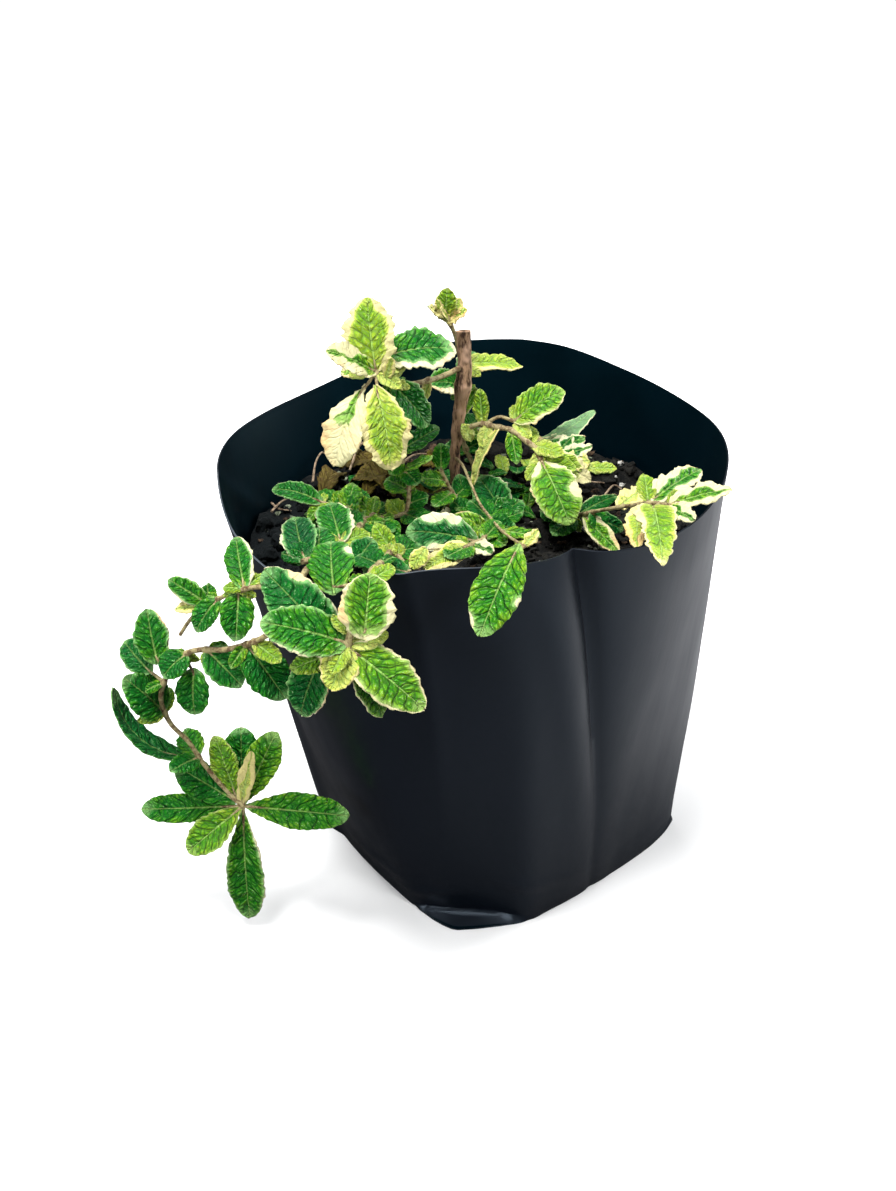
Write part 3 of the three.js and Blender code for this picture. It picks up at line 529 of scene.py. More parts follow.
def scattered(name, spots, sizes, flatness, paint, draw, rounds=1):
    """Loose lumps that lie on the soil: one dented ball, copied, flattened and turned as it fell."""
    bpy.ops.mesh.primitive_ico_sphere_add(subdivisions=rounds, radius=1)
    heap = bpy.context.object
    ball = np.array([v.co for v in heap.data.vertices])
    faces = np.array([f.vertices[:] for f in heap.data.polygons])
    points = []
    for x, y in spots:
        radius = draw.uniform(*sizes)
        lump = ball * draw.uniform(0.7, 1.3, (len(ball), 1)) * (1, draw.uniform(0.45, 1), flatness)
        turn, tip = draw.uniform(0, 2 * math.pi), draw.uniform(-0.5, 0.5)
        flat, steep = math.cos(tip), math.sin(tip)
        lump = lump @ np.array([[flat, 0, -steep], [0, 1, 0], [steep, 0, flat]])
        ahead, aside = math.cos(turn), math.sin(turn)
        lump = lump @ np.array([[ahead, aside, 0], [-aside, ahead, 0], [0, 0, 1]])
        lump = lump * radius + (x, y, soil_height(x, y) + clods(x, y) + 0.5 * radius * flatness)
        points.append(lump / 1000)
    every_face = [faces + len(ball) * i for i in range(len(points))]
    mesh = bpy.data.meshes.new(name)
    mesh.from_pydata(np.vstack(points).tolist(), [], np.vstack(every_face).tolist())
    heap.data = mesh
    mesh.materials.append(paint)
    finish_piece(heap, name, "soil")


LUMP_CLEAR = 3.5


def strewn(count, draw):
    """Places in millimetres spread evenly over the soil, short of the film."""
    turns = draw.integers(0, SOIL_COLUMNS, count) * 360 // SOIL_COLUMNS
    spots = []
    for turn, out in zip(turns, draw.uniform(0, 1, count)):
        x, y, _ = wall(turn, BRIMS[turn], SOIL_INSET + LUMP_CLEAR, False)
        spots.append((x * 1000 * math.sqrt(out), y * 1000 * math.sqrt(out)))
    return spots


lot = np.random.default_rng(SOIL_SEED)
chip_bark = grained("bark_chips", srgb(18, 14, 11), srgb(84, 66, 50), 500, 1600, 0.0004)[0]
grit = grained("pale_grit", srgb(118, 116, 108), srgb(196, 194, 186), 420, 1500, 0.0003)[0]
# The crumbs and clods share the earth's material, with its painted shade on the left.
scattered("soil_crumbs", strewn(CRUMB_COUNT, lot), (0.6, 1.9), 0.8, earth, lot)
scattered("soil_clods", strewn(CLOD_COUNT, lot), (1.6, 3.4), 0.75, earth, lot, rounds=2)
litter = grained("leaf_litter", srgb(40, 48, 36), srgb(128, 136, 112), 500, 1600, 0.0003)[0]
scattered("leaf_litter", strewn(LITTER_COUNT, lot), (0.8, 2.4), 0.2, litter, lot)
scattered("bark_chips", strewn(CHIP_COUNT, lot), (0.9, 2.6), 0.35, chip_bark, lot)
grit_spots = []
for spot in ((606, 466), (598, 472), (616, 478), (560, 478), (622, 486)):
    grain_of_grit = on_soil(*spot) * 1000
    grit_spots.append((grain_of_grit.x, grain_of_grit.y))
grit_spots += [spot for spot in strewn(GRIT_COUNT, lot) if spot[0] > GRIT_LEFT]
scattered("pale_grit", grit_spots, (0.5, 1.4), 0.7, grit, lot, rounds=2)


# Roots: a few thin, dry rootlets of the mint that have worked out of the soil. They lie in loops on it,
# each one a round strand that thins towards its tip.
def smooth_route(points, step=0.0008):
    """Points a small step apart on the smooth curve through the given ones, with its bends kept tight."""
    given = [Vector(p) for p in points]
    given = [given[0] * 2 - given[1], *given, given[-1] * 2 - given[-2]]
    course = []
    for p0, p1, p2, p3 in zip(given, given[1:], given[2:], given[3:]):
        gaps = [max((b - a).length, 1e-6) ** 0.5 for a, b in ((p0, p1), (p1, p2), (p2, p3))]
        leave = (p1 - p0) / gaps[0] - (p2 - p0) / (gaps[0] + gaps[1]) + (p2 - p1) / gaps[1]
        arrive = (p2 - p1) / gaps[1] - (p3 - p1) / (gaps[1] + gaps[2]) + (p3 - p2) / gaps[2]
        leave, arrive = leave * gaps[1], arrive * gaps[1]
        count = max(2, round((p2 - p1).length / step))
        for i in range(count):
            t = i / count
            course.append(p1 + leave * t + (3 * (p2 - p1) - 2 * leave - arrive) * t ** 2
                          + (2 * (p1 - p2) + leave + arrive) * t ** 3)
    return [*course, given[-2]]


def stems_piece(name, runs, paints, sides=3):
    """Round stems as one mesh. Each run is (points, radii in millimetres, which paint)."""
    line = bpy.data.curves.new(name, "CURVE")
    line.dimensions = "3D"
    line.bevel_depth = 0.001
    line.bevel_resolution = sides
    line.use_fill_caps = True
    for points, radii, paint in runs:
        spline = line.splines.new("POLY")
        spline.points.add(len(points) - 1)
        spline.material_index = paint
        for knot, point, radius in zip(spline.points, points, radii):
            knot.co = (*point, 1)
            knot.radius = radius
    for paint in paints:
        line.materials.append(paint)
    made = bpy.data.objects.new(name, line)
    scene.collection.objects.link(made)
    bpy.ops.object.select_all(action="DESELECT")
    bpy.context.view_layer.objects.active = made
    made.select_set(True)
    bpy.ops.object.convert(target="MESH")
    bpy.ops.object.shade_smooth()
    return bpy.context.object


root_skin = grained("dry_root", srgb(82, 66, 52), srgb(158, 138, 114), 700, 2200, 0.0002)[0]
ROOT_RADIUS = 0.45
# Rootlets by where they show in the picture, and how far each point is above the soil.
ROOTS = [
    [(272, 517, 2), (283, 509, 3), (294, 502, 2)],
    [(272, 507, 1.5), (280, 513, 1.5), (292, 515, 1.5)],
    [(313, 486, 1.5), (317, 477, 6), (324, 471, 7), (333, 470, 1.5)],
    [(580, 482, 1.5), (592, 490, 3), (606, 487, 1.5)],
    [(604, 500, 1.5), (614, 492, 2.5), (626, 497, 1.5)],
    [(350, 478, 3), (362, 468, 9), (382, 470, 11), (400, 484, 7), (406, 500, 1.5)],
    [(388, 500, 1.5), (408, 480, 8), (430, 474, 7), (446, 488, 1.5)],
    [(540, 494, 1.5), (548, 487, 3), (560, 489, 1.5)],
]
root_runs = []
for route in ROOTS:
    course = smooth_route([on_soil(across, down) + Vector((0, 0, up / 1000)) for across, down, up in route])
    root_runs.append((course, [ROOT_RADIUS - 0.25 * i / len(course) for i in range(len(course))], 0))
roots = stems_piece("rootlets", root_runs, [root_skin])
finish_piece(roots, "rootlets", "bark")


# Woody stem: last year's bare, bark-covered cane, cut off at the top, with knots where its side
# stems left it. It stands in the soil and carries the upper left shoot, the right branch and the
# front runner.
ROOT_DEPTH = 15


def rooted(x, y):
    """First points of a stem that stands in the soil."""
    return [Vector((x, y, SOIL_TOP + up)) / 1000 for up in (-ROOT_DEPTH, -5, 3, 8)]


WOOD_ROUTE = rooted(-15.5, 27) + [
    at(454.5, 456, 27), at(457, 436, 27), at(459.5, 410, 28), at(463, 386, 28),
    at(464.5, 360, 29), at(463.5, 331, 30),
]
WOOD_RADII = (1.7, 1.7, 1.7, 1.7, 1.7, 1.8, 1.9, 2.6, 2.2, 2.3)
# Knots as (how far down the picture, how far the bark swells in millimetres, its reach in metres).
WOOD_KNOTS = [(386, 0.35, 0.0022), (412, 0.28, 0.0020), (431, 0.3, 0.0018), (352, 0.15, 0.0014)]
BARK_RIDGES = 0.07
BARK_RELIEF = 0.00028

wood_course = smooth_route(WOOD_ROUTE, 0.0006)
given_at = [min(range(len(wood_course)), key=lambda i: (wood_course[i] - p).length) for p in WOOD_ROUTE]
wood_shares = np.interp(range(len(wood_course)), given_at, np.linspace(0, 1, len(WOOD_ROUTE)))
wood_radii = []
for point, share in zip(wood_course, wood_shares):
    swell = sum(rise * math.exp(-((point.z - at(460, down, 28).z) / reach) ** 2)
                for down, rise, reach in WOOD_KNOTS)
    given = np.interp(share * (len(WOOD_RADII) - 1), range(len(WOOD_RADII)), WOOD_RADII)
    wood_radii.append(float(given) + swell)


def beside_wood(height, towards):
    """Where a side stem leaves the bark at a height in millimetres, on its way to a picture point."""
    i = next(i for i, p in enumerate(wood_course) if p.z * 1000 > height)
    way = (at(*towards) - wood_course[i]).normalized()
    return wood_course[i] + way * wood_radii[i] * (1 + BARK_RIDGES) / 1000


wood = stems_piece("woody_stem_bark", [(wood_course, wood_radii, 0)], [], sides=10)
for vertex in wood.data.vertices:
    nearest = min(wood_course, key=lambda p: (p - vertex.co).length)
    out = (vertex.co - nearest).normalized()
    turn = math.atan2(out.y, out.x)
    ridge = noise.noise(Vector((turn * 2.2, vertex.co.z * 160, 3))) + 0.6 * noise.noise(
        Vector((math.cos(turn) * 4, math.sin(turn) * 4, vertex.co.z * 420)))
    vertex.co += out * BARK_RELIEF * ridge
bark, bark_shader, tree, bark_colour = grained(
    "cane_bark", srgb(50, 34, 24), srgb(158, 126, 98), 420, 1500, 0.0005, stretch=(1, 1, 0.28), rough=0.8)
blotch = speckle(tree, own_place(tree), 150, 2)
pinkish = colour_mix(tree, span(tree, blotch, 0.5, 0.68), bark_colour, srgb(196, 160, 134))
tree.links.new(pinkish, bark_shader.inputs["Base Color"])
wood.data.materials.append(bark)
finish_piece(wood, "woody_stem_bark", "bark", "woody_stem")


# Upper left shoot: the tallest leafy stem, which leaves the bare cane near its top and ends in broad
# young leaves with wide cream margins, puckered between their veins. Its leaves hang in pairs.
LEAF_THICKNESS = 0.0004
PETIOLE_LENGTH = 3.5
STALK_OVERLAP = 0.12
STALK_SUNK = 0.0003
STALK_RADIUS = 0.62
THIN_STALK_RADIUS = 0.42
KNUCKLE_REACH = 0.0011
LEAF_LIGHT = Vector((0, -0.6, 0.8))
TOOTH_SPACING = 2.6
LEAST_HALF_WIDTH = 0.12
MIDRIB_DEPTH = 0.32
MIDRIB_WIDTH = 0.45
PUCKER_RISE = 0.075
FULL_GREEN = -0.12
# Flat blanks that the blades are shaped from, as (least width of a blade in millimetres, faces along
# it and across it, pairs of side veins).
LEAF_GRIDS = [(11, 50, 30, 7.5), (7, 36, 20, 6.5), (4.8, 22, 12, 5), (0, 14, 8, 5)]

blanks = []
for least_width, rows, columns, vein_pairs in LEAF_GRIDS:
    bpy.ops.mesh.primitive_grid_add(x_subdivisions=rows, y_subdivisions=columns, size=1)
    blanks.append((least_width, bpy.context.object, vein_pairs))


def leaf(base, tip, width, tone, cream=(0, 0), **shape):
    """One leaf: where its base and tip show, its width in millimetres, its tone from old and dark (0)
    to young and yellow (1), and the shares of its left and right halves that are cream. Its shape may
    have a turn about its length and a fold in degrees, an arch in millimetres, the share of its length
    at which it is broadest, a ragged edge, a cream tip or base, and blots as (along, across, size)."""
    return {"base": at(*base), "tip": at(*tip), "width": width, "tone": tone, "cream": cream, **shape}


def leaf_frame(one):
    """The directions along a leaf, across it and up from its upper face, and its length."""
    along = one["tip"] - one["base"]
    length = along.length
    along = along / length
    light = one.get("light", LEAF_LIGHT)
    up = (light - along * light.dot(along)).normalized()
    turn = math.radians(one.get("turn", 0))
    up = up * math.cos(turn) + along.cross(up) * math.sin(turn)
    return along, along.cross(up), up, length


def midrib_point(one, share):
    """The point of a leaf's midrib at a share of its length."""
    _, _, up, _ = leaf_frame(one)
    rise = one.get("arch", 0) * 4 * share * (1 - share) / 1000
    return one["base"].lerp(one["tip"], share) + up * rise


def waver(values, seed):
    """A smooth, uneven wave between about -1 and 1."""
    return (0.55 * np.sin(values * 2.1 + seed * 1.7) + 0.3 * np.sin(values * 4.7 + seed * 3.1)
            + 0.2 * np.sin(values * 9.3 + seed * 5.9))


def blade_mesh(one, seed):
    """The puckered, toothed blade of a leaf as a grid with its veins and dyes as attributes."""
    wide = one["width"]
    blank, vein_pairs = next((thing, pairs) for least_width, thing, pairs in blanks if wide >= least_width)
    made = blank.copy()
    made.data = blank.data.copy()
    scene.collection.objects.link(made)
    shares = grid_shares(made)
    u = np.clip(shares[:, 0], 0, 1)
    u = 0.5 * u + 0.25 * (1 - np.cos(np.pi * u))
    v = 1 - 2 * shares[:, 1]
    away = np.abs(v)
    right = v > 0
    along, across, up, length = leaf_frame(one)
    length *= 1000

    # Its outline, from the base (u is 0) to the tip (u is 1), the left edge (v is -1) to the right one.
    broadest = one.get("broadest", 0.48)
    outline = np.maximum(0, np.sin(np.pi * u ** (math.log(0.5) / math.log(broadest))))
    outline = outline ** (0.52 + 2.6 * max(0, broadest - 0.5) * (1 - u) ** 2)
    half = np.maximum(LEAST_HALF_WIDTH, wide / 2 * outline)

    # How far each point is into the cream (over 0) or into the green (under 0).
    cream_left, cream_right = one["cream"]
    patchy = 0.75 + 0.5 * np.where(right, waver(u * 3.1, seed + 9), waver(u * 3.1, seed + 2))
    depth = np.where(right, cream_right, cream_left) * patchy
    cream = away - 1 + np.where(depth > 0, depth, FULL_GREEN)
    cream = np.maximum(cream, u - 1 + one.get("cream_tip", 0))
    cream = np.maximum(cream, one.get("cream_base", 0) - u)
    for spot_u, spot_v, size in one.get("blots", ()):
        gap = np.hypot((u - spot_u) * length / (wide / 2), v - spot_v)
        cream = np.maximum(cream, size - gap)

    # The teeth of its edge, which point forward, and the lobes of a crumpled cream margin.
    teeth = max(4, round(length / TOOTH_SPACING))
    bite = (u * teeth + np.where(right, 0.35, 0.0)) % 1
    saw = np.sin(np.pi * np.where(bite < 0.7, bite / 1.4, 0.5 + (bite - 0.7) / 0.6)) - 0.5
    lobes = np.where(right, waver(u * 7, seed), waver(u * 7, seed + 4))
    frayed = np.where(right, waver(u * 19, seed + 7), waver(u * 19, seed + 8))
    edge = wide / 2 * np.maximum(0, np.sin(np.pi * u)) ** 0.4 * (
        (0.05 + 0.05 * one["tone"]) * saw + (0.05 + 0.16 * np.clip(depth, 0, 0.5)) * lobes
        + one.get("ragged", 0) * frayed)
    side = v * half + np.sign(v) * away ** 5 * edge

    # Its face, folded up along the midrib, arched, and rippled towards the edge.
    fold = math.radians(one.get("fold", 16))
    slope = np.sqrt(side ** 2 + 0.5) - 0.7
    rise = one.get("arch", 0) * 4 * u * (1 - u) + slope * math.sin(fold)
    rise -= (0.10 + one.get("curl", 0)) * half * away ** 3
    rise += (one.get("ripple", 0.5) + 0.05 * wide * np.clip(depth, 0, 0.5)) * away ** 2 * waver(
        u * 6 + np.where(right, 1.3, 0.0), seed + 1)

    # Its side veins, which curve forward, and the cells that puff up between them and their net.
    out = np.abs(side) / length
    bulges = np.array([noise.noise(Vector((a * 4.2, b * 2.1, seed * 3))) for a, b in zip(u, v)])
    phase = (0.55 * bulges + vein_pairs * (1.04 * u - 0.95 * out + 0.7 * out ** 2) + 0.28 * v
             + 0.05 * np.sin(22 * out + seed))
    cell_size = 0.95 + 0.055 * wide
    cell = out * length / cell_size + 0.8 * bulges + 0.3 * np.sin(phase * 2.4 + seed)
    stagger = (np.floor(phase) * 0.618 + seed * 0.37) % 1
    pillow = np.abs(np.sin(np.pi * phase)) ** 0.55
    pillow = pillow * (0.55 + 0.45 * np.abs(np.sin(np.pi * (cell + stagger))) ** 0.6)
    fade = np.sin(np.pi * np.clip(u, 0.02, 0.98)) ** 0.4 * (1 - away ** 7)
    fade = fade * (1 - 0.7 * np.clip(0.5 + 4 * cream, 0, 1))
    rise += PUCKER_RISE * half * pillow * fade
    rise -= MIDRIB_DEPTH * np.exp(-(side / MIDRIB_WIDTH) ** 2) * (1 - u) * min(1, wide / 9)

    # The places of its points, and what the leaf materials read: the blade, its net and its dye.
    base = np.array(one["base"])
    reach = np.outer(u * length, along) + np.outer(side * math.cos(fold * 0.8), across) + np.outer(rise, up)
    new_places(made, base + reach / 1000)
    net_along = (u * length - 0.7 * np.abs(side)) / cell_size + seed * 7
    tone = np.full(len(u), one["tone"])
    pale_veins = np.full(len(u), one.get("pale_veins", one["tone"]))
    for name, values in (
        ("blade", (u, v, side)),
        ("net", (phase, net_along, 0.85 * side / cell_size)),
        ("dye", (tone, cream, pale_veins)),
    ):
        layer = made.data.attributes.new(name, "FLOAT_VECTOR", "POINT")
        layer.data.foreach_set("vector", np.column_stack(values).astype(np.float32).ravel())
    return made


# Net of a mint leaf: a pale midrib, side veins that curve forward, and a fine net sunk between
# puckered cells. It reads the attributes that each blade carries.
net_group, _, net_out = effect(
    "leaf_net", {}, {"Height": "Float", "Veins": "Float", "Midrib": "Float", "Cells": "Float"})


def read(tree, name):
    """The three parts of a vector that each blade carries."""
    return parts(tree, node(tree, "Attribute", {"attribute_name": name}).outputs["Vector"])


along_leaf, _, side_mm = read(net_group, "blade")
phase, net_along, net_across = read(net_group, "net")
to_vein = maths(net_group, "PINGPONG", phase, 0.5)
side_veins = span(net_group, to_vein, 0.02, 0.10, 1.0, 0.0)
net_place = node(net_group, "CombineXYZ", X=net_along, Y=net_across).outputs[0]
edges = node(net_group, "TexVoronoi", {"feature": "DISTANCE_TO_EDGE"}, Vector=net_place, Scale=1.0)
mesh_net = edges.outputs[0]
fine_veins = span(net_group, mesh_net, 0.02, 0.11, 1.0, 0.0)
rib_width = span(net_group, along_leaf, 0.0, 1.0, 0.34, 0.12)
rib = span(net_group, maths(net_group, "SUBTRACT", maths(net_group, "ABSOLUTE", side_mm), rib_width),
           -0.06, 0.12, 1.0, 0.0)
veins = maths(net_group, "MAXIMUM", side_veins, maths(net_group, "MULTIPLY", fine_veins, 0.7))
cells = span(net_group, mesh_net, 0.0, 0.42)
height = maths(net_group, "SUBTRACT", cells, maths(net_group, "MULTIPLY", side_veins, 0.7))
net_group.links.new(maths(net_group, "SUBTRACT", height, rib), net_out["Height"])
net_group.links.new(veins, net_out["Veins"])
net_group.links.new(rib, net_out["Midrib"])
net_group.links.new(cells, net_out["Cells"])

# Dye of a mint leaf: green by its age, cream where the margin has lost its green, a pale rim, and the
# pale felt of its short hairs, which are too fine to be made one by one, painted partly as glints on the
# cell tops.
TONES = [
    (0.0, srgb(3, 68, 36)), (0.15, srgb(6, 90, 34)), (0.35, srgb(18, 104, 22)), (0.5, srgb(56, 128, 20)),
    (0.65, srgb(108, 156, 28)), (0.8, srgb(148, 174, 44)), (1.0, srgb(188, 192, 100)),
]
dyes, dye_in, dye_out = effect(
    "leaf_dye", {"Veins": "Float", "Midrib": "Float", "Cells": "Float"},
    {"Colour": "Color", "Cream": "Float"})


def ramp(tree, value, stops):
    """A colour picked from a row of stops by a value."""
    made = tree.nodes.new("ShaderNodeValToRGB")
    keys = made.color_ramp.elements
    while len(keys) < len(stops):
        keys.new(0.5)
    for key, (place, colour) in zip(keys, stops):
        key.position = place
        key.color = colour
    tree.links.new(value, made.inputs[0])
    return made.outputs[0]


tone, cream_field, pale_veins = read(dyes, "dye")
along_leaf, across_leaf, _ = read(dyes, "blade")
where = own_place(dyes)
mottle = speckle(dyes, where, 260, 3)
ragged = speckle(dyes, where, 520, 3, 0.6)
paler = maths(dyes, "ADD", span(dyes, along_leaf, 0.05, 0.45, 0.4, 0.0),
              span(dyes, maths(dyes, "ABSOLUTE", across_leaf), 0.4, 1.0, 0.0, 0.4))
paler = maths(dyes, "MULTIPLY", paler, span(dyes, ragged, 0.3, 0.6, 0.5, 1.0))
paler = maths(dyes, "MULTIPLY", paler, span(dyes, tone, 0.1, 0.6, 0.2, 0.5))
age_and_highlight = maths(dyes, "MULTIPLY_ADD", mottle, 0.34, tone)
# Cell tops are painted a lighter, yellower green: a painted highlight where the puckered cells catch the
# light.
age_and_highlight = maths(dyes, "MULTIPLY_ADD", dye_in["Cells"], 0.14, age_and_highlight)
age_and_highlight = maths(dyes, "SUBTRACT", maths(dyes, "ADD", age_and_highlight, paler), 0.17)
green = ramp(dyes, age_and_highlight, TONES)
# The veins are darkened: partly their own darker green, partly painted shade in their sunken lines.
dark_lines = maths(dyes, "MULTIPLY", dye_in["Veins"], span(dyes, pale_veins, 0.5, 0.95, 0.86, 0.3))
green = colour_mix(dyes, dark_lines, green, srgb(2, 42, 10))
light_lines = maths(dyes, "MULTIPLY", dye_in["Veins"], span(dyes, pale_veins, 0.4, 0.95, 0.0, 0.55))
green = colour_mix(dyes, light_lines, green, srgb(186, 214, 118))
edge = maths(dyes, "ADD", cream_field, maths(dyes, "MULTIPLY", maths(dyes, "SUBTRACT", ragged, 0.5), 0.22))
fringe = colour_mix(dyes, span(dyes, tone, 0.3, 0.8), srgb(124, 172, 104), srgb(196, 206, 84))
green = colour_mix(dyes, span(dyes, edge, -0.16, 0.0, 0.0, 0.75), green, fringe)
cream_tint = colour_mix(dyes, span(dyes, tone, 0.2, 0.95), srgb(204, 201, 166), srgb(210, 198, 132))
vein_tint = maths(dyes, "MULTIPLY", dye_in["Veins"], 0.25)
cream_tint = colour_mix(dyes, vein_tint, cream_tint, srgb(196, 188, 128))
blush = speckle(dyes, where, 70, 2)
cream_tint = colour_mix(dyes, span(dyes, blush, 0.54, 0.72, 0.0, 0.6), cream_tint, srgb(214, 164, 104))
cream_share = span(dyes, edge, 0.0, 0.07)
rim = span(dyes, maths(dyes, "ABSOLUTE", across_leaf), 0.955, 0.985)
rim = maths(dyes, "MULTIPLY", rim, span(dyes, tone, 0.3, 0.8, 0.12, 0.5))
pale_rib = maths(dyes, "MULTIPLY", dye_in["Midrib"], span(dyes, tone, 0.1, 0.6, 0.25, 0.5))
green = colour_mix(dyes, maths(dyes, "MAXIMUM", rim, pale_rib), green, srgb(168, 206, 110))
# Pale flecks on the cell tops: the hairs' felt, partly its own pale colour and partly painted glints.
felt_glint = speckle(dyes, where, 2600, 2, 0.7)
on_cells = span(dyes, dye_in["Cells"], 0.2, 0.9, 0.06, 0.62)
felt_glint = maths(dyes, "MULTIPLY", span(dyes, felt_glint, 0.54, 0.68), on_cells)
green = colour_mix(dyes, felt_glint, green, srgb(186, 222, 170))
dyes.links.new(colour_mix(dyes, cream_share, green, cream_tint), dye_out["Colour"])
dyes.links.new(cream_share, dye_out["Cream"])


def leaf_material(name, lighten, depth, rough, veins_stand_out):
    """The upper or lower skin of the leaves, from the shared net and dye."""
    made, shader, tree = material(
        name, Roughness=rough, Specular_IOR_Level=0.12, Specular_Tint=(0.7, 1.0, 0.55, 1))
    net = node(tree, "Group", {"node_tree": net_group}).outputs
    dye = node(tree, "Group", {"node_tree": dyes}, Veins=net["Veins"], Midrib=net["Midrib"],
               Cells=net["Cells"]).outputs
    colour = colour_mix(tree, lighten, dye["Colour"], srgb(150, 178, 138))
    tree.links.new(colour, shader.inputs["Base Color"])
    down = speckle(tree, own_place(tree), 1500, 2)
    worn = maths(tree, "MULTIPLY", net["Height"], span(tree, dye["Cream"], 0.0, 1.0, 1.0, 0.3))
    height = maths(tree, "ADD", worn, maths(tree, "MULTIPLY", down, 0.25))
    relief(tree, shader, height, 0.9, depth, veins_stand_out)
    return made


upper_skin = leaf_material("leaf_upper_skin", 0.0, 0.0006, 0.36, False)
lower_skin = leaf_material("leaf_lower_skin", 0.42, 0.0004, 0.6, True)
stem_skin = grained(
    "leafy_stem_skin", srgb(92, 70, 48), srgb(162, 150, 108), 500, 1800, 0.0002, rough=0.6)[0]
stalk_skin = grained(
    "leaf_stalk_skin", srgb(118, 142, 62), srgb(176, 190, 104), 600, 1800, 0.0002, rough=0.55)[0]


def foliage(blades, skins):
    """Blades as one piece with the thickness of a leaf, its two skins of different materials."""
    bpy.ops.object.select_all(action="DESELECT")
    for blade in blades:
        blade.select_set(True)
    bpy.context.view_layer.objects.active = blades[0]
    if len(blades) > 1:
        bpy.ops.object.join()
    joined = bpy.context.object
    for skin in skins:
        joined.data.materials.append(skin)
    flesh = joined.modifiers.new("flesh", "SOLIDIFY")
    flesh.thickness = LEAF_THICKNESS
    flesh.offset = -1
    flesh.material_offset = 1
    bpy.ops.object.modifier_apply(modifier=flesh.name)
    bpy.ops.object.shade_smooth()
    return joined


LEAST_PARENT_WIDTH = 8
NO_YOUNG_LEAF = 0.3
YOUNG_WIDTH = 560


def young_leaves(leaves, joints, draw):
    """Small leaves that sprout at the joints of the larger ones and are tucked under them."""
    young = []
    for one, joint in zip(leaves, joints):
        along, across, up, length = leaf_frame(one)
        for side in (-1, 1):
            reach, lean, lift, age = draw.uniform((0.28, 0.2, -0.3, 0.1), (0.5, 0.9, 0.15, 0.45))
            if one["width"] < LEAST_PARENT_WIDTH or one.get("bare") or draw.random() < NO_YOUNG_LEAF:
                continue
            way = (along * lean + across * side + up * lift).normalized()
            young.append({
                "base": joint + way * 0.0004, "tip": joint + way * length * reach, "arch": 0.4,
                "width": length * reach * YOUNG_WIDTH, "tone": min(0.85, one["tone"] + age), "cream": (0, 0),
            })
    return young


def leafy_shoot(name, stems, leaves):
    """A leafy stem as two pieces: its blades, and the stems and stalks that carry them. A stem is given
    as (its route, by points of the model or of the picture, its radius at the start and at the end)."""
    courses = []
    for route, _, _ in stems:
        courses.append(smooth_route([p if isinstance(p, Vector) else at(*p) for p in route]))
    every = [p for course in courses for p in course]
    joints = [min(every, key=lambda p: (p - one["base"]).length) for one in leaves]
    young = young_leaves(leaves, joints, np.random.default_rng(len(leaves)))
    leaves, joints = leaves + young, joints + [one["base"] for one in young]
    runs, blades = [], []
    for i, (one, anchor) in enumerate(zip(leaves, joints)):
        if (anchor - one["base"]).length * 1000 < PETIOLE_LENGTH:
            one["base"] = anchor
        inner = midrib_point(one, STALK_OVERLAP)
        _, _, up, _ = leaf_frame(one)
        stalk = [anchor, anchor.lerp(inner, 0.5) - up * STALK_SUNK, inner - up * STALK_SUNK,
                 midrib_point(one, 0.3) - up * LEAF_THICKNESS]
        course = smooth_route(stalk)
        thick = STALK_RADIUS if one["width"] > 6 else THIN_STALK_RADIUS
        runs.append((course, [thick * (1 - 0.75 * k / len(course)) for k in range(len(course))], 1))
        blades.append(blade_mesh(one, 0.37 + i * 1.31 + len(leaves) * 0.71))
    for course, (_, start, end) in zip(courses, stems):
        radii = []
        for k, point in enumerate(course):
            nearest = min((point - joint).length for joint in joints)
            knuckle = math.exp(-(nearest / KNUCKLE_REACH) ** 2)
            radii.append((start + (end - start) * k / len(course)) * (0.76 + 0.3 * knuckle))
        runs.append((course, radii, 0))
    stem_piece = stems_piece(name + "_stems", runs, [stem_skin, stalk_skin])
    finish_piece(stem_piece, name + "_stems", "leaf", name)
    finish_piece(foliage(blades, [upper_skin, lower_skin]), name + "_leaves", "leaf", name)


leafy_shoot("upper_left_shoot", [
    ([beside_wood(160, (443, 376, 22)), (443, 376, 22), (430, 380, 17), (411, 384, 12), (385, 381, 7),
      (376, 372, 5)], 1.2, 1.0),
], [
    leaf((369, 369, 6), (367, 297, 13), 17, 0.66, (0.44, 0.6), ragged=0.07, fold=30, turn=-10, arch=1.5),
    leaf((372, 378, 4), (326, 350, 1), 11, 0.5, (0.85, 0.95), turn=0, ragged=0.06, fold=24, arch=1),
    leaf((374, 374, 9), (341, 372, 17), 7, 0.6, (0.8, 0.8), turn=20),
    leaf((384, 356, 7), (456, 349, 14), 17, 0.32, (0.04, 0.5), ragged=0.07, cream_tip=0.08, turn=-8,
         arch=1.5, fold=10, broadest=0.5),
    leaf((386, 378, 3), (392, 358, 1), 4, 0.9, (0.6, 0.6), turn=20),
    leaf((366, 384, 2), (335, 466, -9), 14, 0.5, (0.95, 0.6), cream_tip=0.5, ragged=0.07, fold=8, turn=15,
         arch=3, broadest=0.62),
    leaf((375, 385, 1), (391, 470, -9), 15, 0.7, (0.35, 0.45), cream_tip=0.1, ragged=0.08, fold=8, turn=-10,
         arch=3, broadest=0.55),
    leaf((389, 382, 9), (428, 426, 9), 12.5, 0.25, (0.05, 0.05), turn=-10, arch=1),
    leaf((428, 382, 17), (424, 401, 14), 3.4, 0.9, (0.3, 0.3)),
    leaf((382, 372, 12), (402, 352, 30), 11, 0.6, (0.8, 0.8), ragged=0.08, turn=10, arch=2),
    leaf((372, 372, 12), (352, 366, 32), 10, 0.6, (0.8, 0.8), ragged=0.08, turn=-10, arch=2),
])

